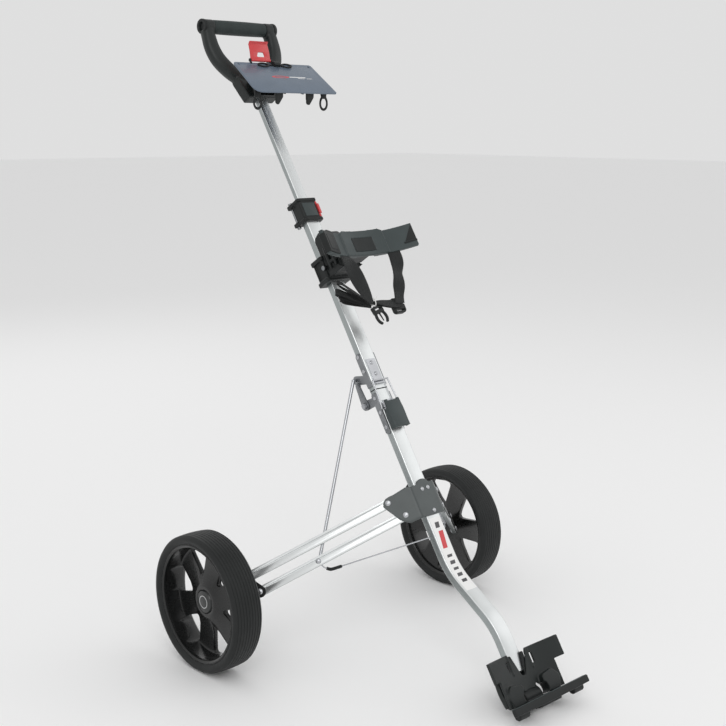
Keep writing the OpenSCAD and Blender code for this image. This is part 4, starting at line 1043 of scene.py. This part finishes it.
def make_foot():
    """Socket, heel and toe bar in one moulding; saddle wings as a second."""
    h0, low, toe = 53.5, -36.0, 112.0
    centre = h0 + 14 + 208
    lo_heel = (14 - 58 * sin(LEAN)) / cos(LEAN)

    def arc(x0, x1, r_in, r_out, bottom, top, n=30):
        rings = []
        for i in range(n + 1):
            x = x0 + (x1 - x0) * i / n
            y0, y1 = (-centre + sqrt(r * r - x * x) for r in (r_in, r_out))
            rings.append([(x, y0, bottom), (x, y1, bottom), (x, y1, top), (x, y0, top)])
        return cap_grid(rings)
    socket = shifted(prism(round_rect(41, 25, 4), -18, 53, "Z"), 0, -h0, 0)
    solids = [socket, rod((-20, -58, lo_heel), (20, -58, lo_heel), 13.9, 40)]
    shelf = rounded_outline([(-24, -56.7, 2), (24, -56.7, 2), (52, -71.5, 6), (66, -110, 4), (-66, -110, 4),
                             (-52, -71.5, 6)], 5)
    solids.append(prism(shelf, low, low + 9.5, "Z"))
    bar = []
    for i in range(31):
        x = -96 + 192 * i / 30
        drop = 5 * (1 - (x / 96) ** 2)
        end = 1.0 if abs(x) < 92 else 0.55
        bar.append([(x, -toe + 0.5, low - drop * 0.2 + 0.4), (x, -toe + 11.5 * end, low - drop * 0.2 + 0.4),
                    (x, -toe + 11.5 * end, low + 12), (x, -toe + 0.5, low + 12)])
    solids.append(cap_grid(bar))
    for s in (-1, 1):
        solids.append(rod((s * 58, -99, low - 1.5), (s * 83, -99, low - 1.5), 7.0, 28))
        solids.append(box(*span(s, 58, 83), -104, -94, low - 2, low + 6))
    solids.append(box(-26, 26, -104, -86, low - 4.5, low + 3))
    cuts = [shifted(prism(round_rect(32.2, 16.2, 0.5), 24, 110, "Z"), 0, -h0, 0),
            shifted(prism(round_rect(50, 20, 8), low - 20, low + 30, "Z"), 0, -h0 - 34, 0),
            rod((-40, -h0, 40), (40, -h0, 40), 2.7, 20),
            prism([(-15.5, 60), (15.5, 60), (4, 16), (-4, 16)], -75, -h0, "Y")]
    moulded("foot_socket_moulded", solids, cuts, 1.1, 2,
            "black", "base", ["foot_base"], angle=50)

    # a grey strip laid on the upper face of the black toe bar: painted light on its lit face
    face = [[(x, -toe + 1.2, low + 12.0), (x, -toe + 10.6, low + 12.0), (x, -toe + 10.2, low + 12.7),
             (x, -toe + 1.6, low + 12.7)] for x in (-94.5, -60, 0, 60, 94.5)]
    piece("toe_bar_painted_light", cap_grid(face), TUBE, "band", "base", (), "black_plastic")

    solids = [arc(-89, 89, 208, 212.5, 20.5, 56.5), arc(-70, 70, 208, 212.5, low + 10.5, 24)]
    for s in (-1, 1):
        for x in (24, 86):
            solids.append(arc(*span(s, x, x + 2.6), 206.5, 212, 21, 56, 2))
        bump = [(s * 62, -66.5, -22), (s * 63, -64, 0), (s * 61, -63, 22), (s * 58, -64, 38)]
        solids.append(sweep(smooth_path(bump, 5), lambda i: super_ring(6.0, 5.4, 2.2, 20)))
    cuts = [shifted(prism(round_rect(41.8, 25.8, 4), -70, 80, "Z"), 0, -h0, 0),
            rod((-21, -58, lo_heel), (21, -58, lo_heel), 14.6, 40),
            prism([(-30, 70), (30, 70), (4, 16), (-4, 16)], -90, -h0, "Y")]
    for s in (-1, 1):
        knuckle = rounded_outline([(s * 24, -25, 5), (s * 60, -27, 7), (s * 66, -6, 8), (s * 54, 9, 9),
                                   (s * 26, 5, 6)], 5)
        solids.append(prism(knuckle, -80, -61, "Y"))
        cuts.append(box(s * 30 - 3, s * 30 + 3, -90, -40, 28, 46))
        window = rounded_outline([(s * 12, -25, 2), (s * 34, -25, 7), (s * 30, -9, 6), (s * 16, -2, 4)], 5)
        cuts.append(prism(window, -95, -40, "Y"))
    moulded("foot_saddle_moulded", solids, cuts, 1.0, 2,
            "soft_black", "base", ["foot_saddle"], angle=50)


def make_stay():
    """One bright wire across the lower arms, in two halves, one for each arm."""
    across, y, z = 139.487, 140.54, 305.03  # where the wire starts to rise to its arm
    for key, s in SIDES.items():
        side = LONG[key]
        path = [Vector((s * across * i / 40, y, z)) for i in range(40)]
        path += smooth_path([(s * across, y, z), (s * (across + 9), y, z + 3), (s * (across + 17), y, z + 9),
                             (s * (across + 21), y - 1, z + 16)], 6)
        across_tube = Vector((0, 1, 0))
        ob = piece("stay_wire_" + side, sweep(path, lambda i: super_ring(1.25, 1.25, 2, 12), across_tube), TUBE,
                   "wire", None, ["stay_wire"], "bright_wire", angle=50)
        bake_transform(ob)
        tube = smooth_path([(s * (across - 22), y, z), (s * (across - 8), y, z), (s * (across + 3), y, z + 0.6),
                            (s * (across + 11), y, z + 4.3)], 8)
        radius = [2.4] + [3.0] * (len(tube) - 2) + [2.4]
        ob = mesh_object("stay_sleeve_" + side, *sweep(tube, lambda i: super_ring(radius[i], radius[i], 2, 20),
                                                       across_tube))
        finish(ob, "black", None, ["stay_sleeves"], angle=50)
        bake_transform(ob)


for step in (make_cradle, make_straps, make_collar, make_latch_cover, make_foot, make_stay):
    step()

# ---- carried-over CAD nodes
CAD_MATS = {
    "steel": ["lower_plates", "upper_plates", "clamp_bolts"],
    "zinc": ["base_rivets", "hinge_bolt", "leg_pins", "latch_base", "latch_pin", "foot_bolt",
             "upper_rivets", "catch_plate", "latch_lever", "axle_l", "axle_r"],
    "wire": ["wire_bail", "push_rod_l", "push_rod_r"],
    "black_paint": ["wheel_bracket_l", "wheel_bracket_r"],
    "black": ["lower_plug", "mid_plug", "handle_slider", "plate_bracket"],
}
for key, names in CAD_MATS.items():
    for name in names:
        node = frame["nodes"][name]
        node.data.materials.clear()
        node.data.materials.append(MAT[key])


# ---- floor and light
def make_stage():
    me = bpy.data.meshes.new("floor")
    s = 30
    me.from_pydata([(-s, -s, 0), (s, -s, 0), (s, s, 0), (-s, s, 0)], [], [(0, 1, 2, 3)])
    floor = bpy.data.objects.new("floor", me)
    bpy.context.scene.collection.objects.link(floor)
    n = Nodes("floor")
    n.bsdf.inputs["Base Color"].default_value = (0.93, 0.93, 0.93, 1)
    n.bsdf.inputs["Roughness"].default_value = 0.9
    me.materials.append(n.mat)
    world = bpy.data.worlds.new("world")
    world.use_nodes = True
    world.node_tree.nodes["Background"].inputs["Color"].default_value = (1, 1, 1, 1)
    world.node_tree.nodes["Background"].inputs["Strength"].default_value = 0.74
    bpy.context.scene.world = world
    bpy.context.scene.view_settings.view_transform = "Standard"
    for name, place, size, power in (("key", (-2.2, -2.6, 3.2), 2.4, 36), ("fill", (2.8, -1.6, 2.0), 2.4, 10),
                                     ("back", (0.5, 3.0, 2.6), 2.4, 12)):
        data = bpy.data.lights.new(name, "AREA")
        data.size = size
        data.energy = power
        lamp = bpy.data.objects.new(name, data)
        lamp.location = place
        lamp.rotation_mode = "QUATERNION"
        lamp.rotation_quaternion = (Vector((0, 0, 0.5)) - Vector(place)).to_track_quat("-Z", "Y")
        bpy.context.scene.collection.objects.link(lamp)


make_stage()
